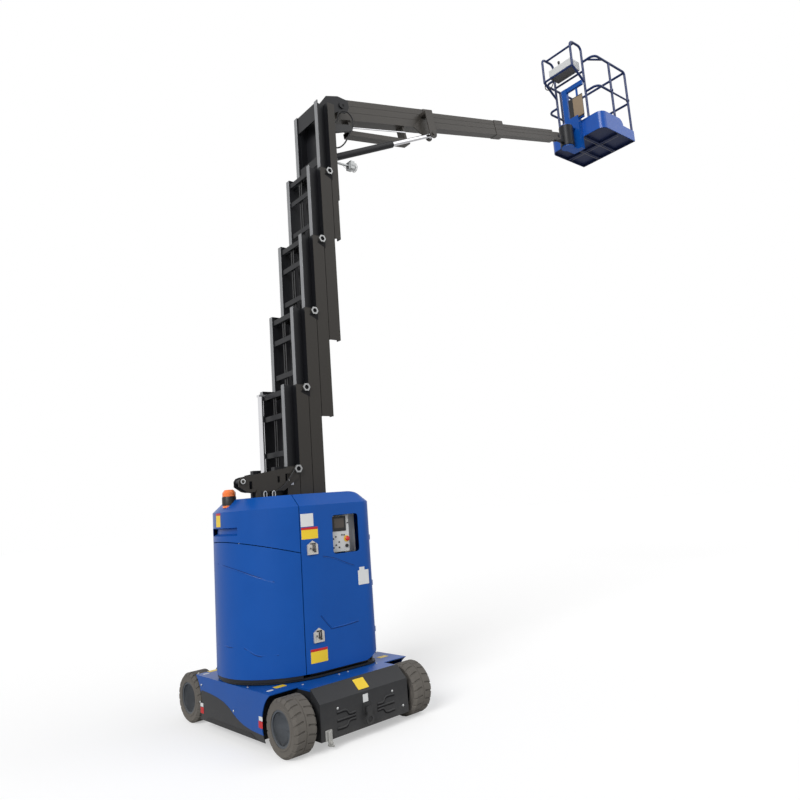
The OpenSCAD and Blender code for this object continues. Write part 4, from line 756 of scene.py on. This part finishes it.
# The work lamp: a die-cast housing with a round lens, on the near rail's lip.
# A guard of bent zinc wire stands round the lens: two hoops, four stays over it and one stay to the rail.
lamp_grey = coat("lamp_casting", (0.30, 0.31, 0.31), (0.42, 0.43, 0.43), 0.35, metallic=0.7, cloud=30.0)
lamp_lens = coat("lamp_lens", (0.55, 0.56, 0.56), (0.70, 0.71, 0.71), 0.08, clear=0.6, peel=0.0)
finish_nodes(lamp_grey, "work_light")
lamp_at = np.array((0.7140, -0.200, 4.784))
lay("lamp_glass", "mast_6", lamp_lens,
    spun([(0.0, 0.0315), (0.0015, 0.0315), (0.004, 0.024), (0.0058, 0.012)], lamp_at, X, 32))
turn = np.linspace(0, 2 * np.pi, 40, endpoint=False)
hoop = np.stack([np.zeros(40), np.cos(turn), np.sin(turn)], -1)
wire = 0.0018
guard = [tube(lamp_at + (0.014, 0, 0) + hoop * 0.034, wire, 6, loop=True),
         tube(lamp_at + (0.004, 0, 0) + hoop * 0.042, wire, 6, loop=True)]
upright = [[(-0.055, 0, s * 0.046), (0.004, 0, s * 0.043), (0.013, 0, s * 0.034), (0.0165, 0, s * 0.004)]
           for s in (-1, 1)]
level = [[(-0.055, s * 0.042, 0), (0.004, s * 0.042, 0), (0.013, s * 0.034, 0), (0.0165, s * 0.004, 0)]
         for s in (-1, 1)]
guard += [tube(through([lamp_at + p for p in stay], 6), wire, 6) for stay in upright + level]
guard += [tube(through([(0.700, -0.232, 4.758), (0.672, -0.236, 4.730), (0.640, -0.236, 4.722),
                        (0.600, -0.228, 4.735), (0.570, -0.214, 4.770)], 8), 0.0022, 6)]
lay("lamp_guard", "mast_6", zinc, *guard)

# The boom: three welded box beams in a warmer grey than the mast, sliding one in the next on wear pads.
# A tray under the base beam carries its lines, and a levelling head at the tip holds the basket's bracket.
boom_paint = coat("boom_paint", (0.036, 0.032, 0.028), (0.060, 0.054, 0.047), 0.42,
                  peel=0.08, specular=0.3, cloud=2.0)
finish_nodes(boom_paint, "boom_base", "boom_mid", "boom_tip")
finish_nodes(mast_paint, "level_head")
# A dark disc in the boom pin's hole is painted shade.
lay("pin_hole_shade", "mast_6", shade_black, spun([(0, 0.013), (0.0006, 0.013)], (0.655, -0.1722, 5.425), -Y, 20))

# The basket: welded tube and folded sheet in blue enamel, hung on a bracket in the cowl's own blue.
# A tan document box with a black frame is screwed to the bracket.
basket_blue = coat("basket_enamel", (0.001, 0.062, 0.33), (0.004, 0.085, 0.42), 0.30,
                   clear=0.1, peel=0.08, specular=0.3)
rail_navy = coat("rail_enamel", (0.003, 0.016, 0.085), (0.006, 0.026, 0.125), 0.32,
                 clear=0.1, peel=0.08, specular=0.3)
finish_nodes(basket_blue, "kick_wall")
finish_nodes(rail_navy, "guard_rails", "gate_hoops", "entry_bar")
finish_nodes(blue_enamel, "basket_bracket")
tan_plastic = coat("document_tan", (0.20, 0.145, 0.09), (0.28, 0.21, 0.14), 0.5, peel=0.2, specular=0.35)
lay("document_box", "platform", tan_plastic,
    plate(oblong(0.160, 0.290, 0.012), (4.5922, -0.134, 6.770), -Y, Z, 0.010, 0.004))
lay("document_frame", "platform", handle_black,
    plate(oblong(0.236, 0.318, 0.008), (4.5924, -0.100, 6.770), -Y, Z, 0.004, 0.001))

# The basket's floor: a dark frame over a steel walking plate, seen from below.
# Ribs are pressed into it, two along and one across, and drawn over it as thin paler strips.
floor_navy = coat("floor_navy", (0.006, 0.012, 0.050), (0.012, 0.022, 0.075), 0.5, specular=0.3)
finish_nodes(floor_navy, "basket_floor")
floor_z = 6.3449
seam_grey = coat("floor_seam", (0.10, 0.10, 0.12), (0.15, 0.15, 0.175), 0.5, specular=0.3)
lay("floor_ribs", "platform", seam_grey,
    *[plate(oblong(0.71, 0.009, 0.002), (5.024, y, floor_z), X, -Y, 0.0015, 0.0005) for y in (-0.088, 0.168)],
    plate(oblong(0.009, 0.80, 0.002), (5.057, 0, floor_z - 0.0002), X, -Y, 0.0015, 0.0005))

# The control box on the basket's rear rail: pale folded steel with a dark panel on top, and a dark plate on its base as
# painted shade under the box.
# Joystick, four switches and a red stop button stand on the panel.
finish_nodes(panel_white, "control_box")
panel_top = 7.4220
# A dark warm grey painted on the box's base as shade.
base_shade_paint = coat("box_underside", (0.075, 0.070, 0.064), (0.110, 0.102, 0.094), 0.5)
lay("control_box_base_shade", "platform", base_shade_paint,
    plate(oblong(0.206, 0.368, 0.008), (4.5275, -0.0025, 7.3004), X, -Y, 0.004, 0.001))
lay("control_box_panel", "platform", charcoal_cover,
    plate(oblong(0.150, 0.300, 0.010), (4.535, 0.0, 7.4198), X, Y, 0.003, 0.001))
stick = [(0, 0.028), (0.004, 0.028), (0.010, 0.020), (0.016, 0.022), (0.022, 0.015), (0.030, 0.016), (0.036, 0.009),
         (0.085, 0.008), (0.090, 0.016), (0.118, 0.017), (0.126, 0.010)]
switch = [(0, 0.007), (0.006, 0.007), (0.010, 0.0035), (0.020, 0.003)]
lay("joystick", "platform", handle_black, spun(stick, (4.545, 0.070, panel_top), Z, 24),
    *[spun(switch, (4.50, y, panel_top), Z, 12) for y in (-0.11, -0.07, -0.03, 0.01)])
lay("basket_stop", "platform", stop_red, spun(stop_button, (4.575, -0.090, panel_top), Z, 28))

# The basket's own hose: black rubber, looping out of the control box's underside and back into the box.
# It hangs beside the box, clear of the rail.
hose("basket_hose", "platform", [
    (4.500, 0.160, 7.306), (4.496, 0.166, 7.250), (4.490, 0.200, 7.196), (4.486, 0.250, 7.182), (4.484, 0.292, 7.215),
    (4.484, 0.300, 7.270), (4.486, 0.270, 7.318), (4.492, 0.225, 7.330), (4.500, 0.178, 7.325)], 0.013)

# The slewing ring between chassis and turret: a turned steel bearing ring, zinc-plated and left bare.
# It is bolted through the deck plate and shows only in the narrow gap under the turntable.
finish_nodes(zinc, "slew_ring")
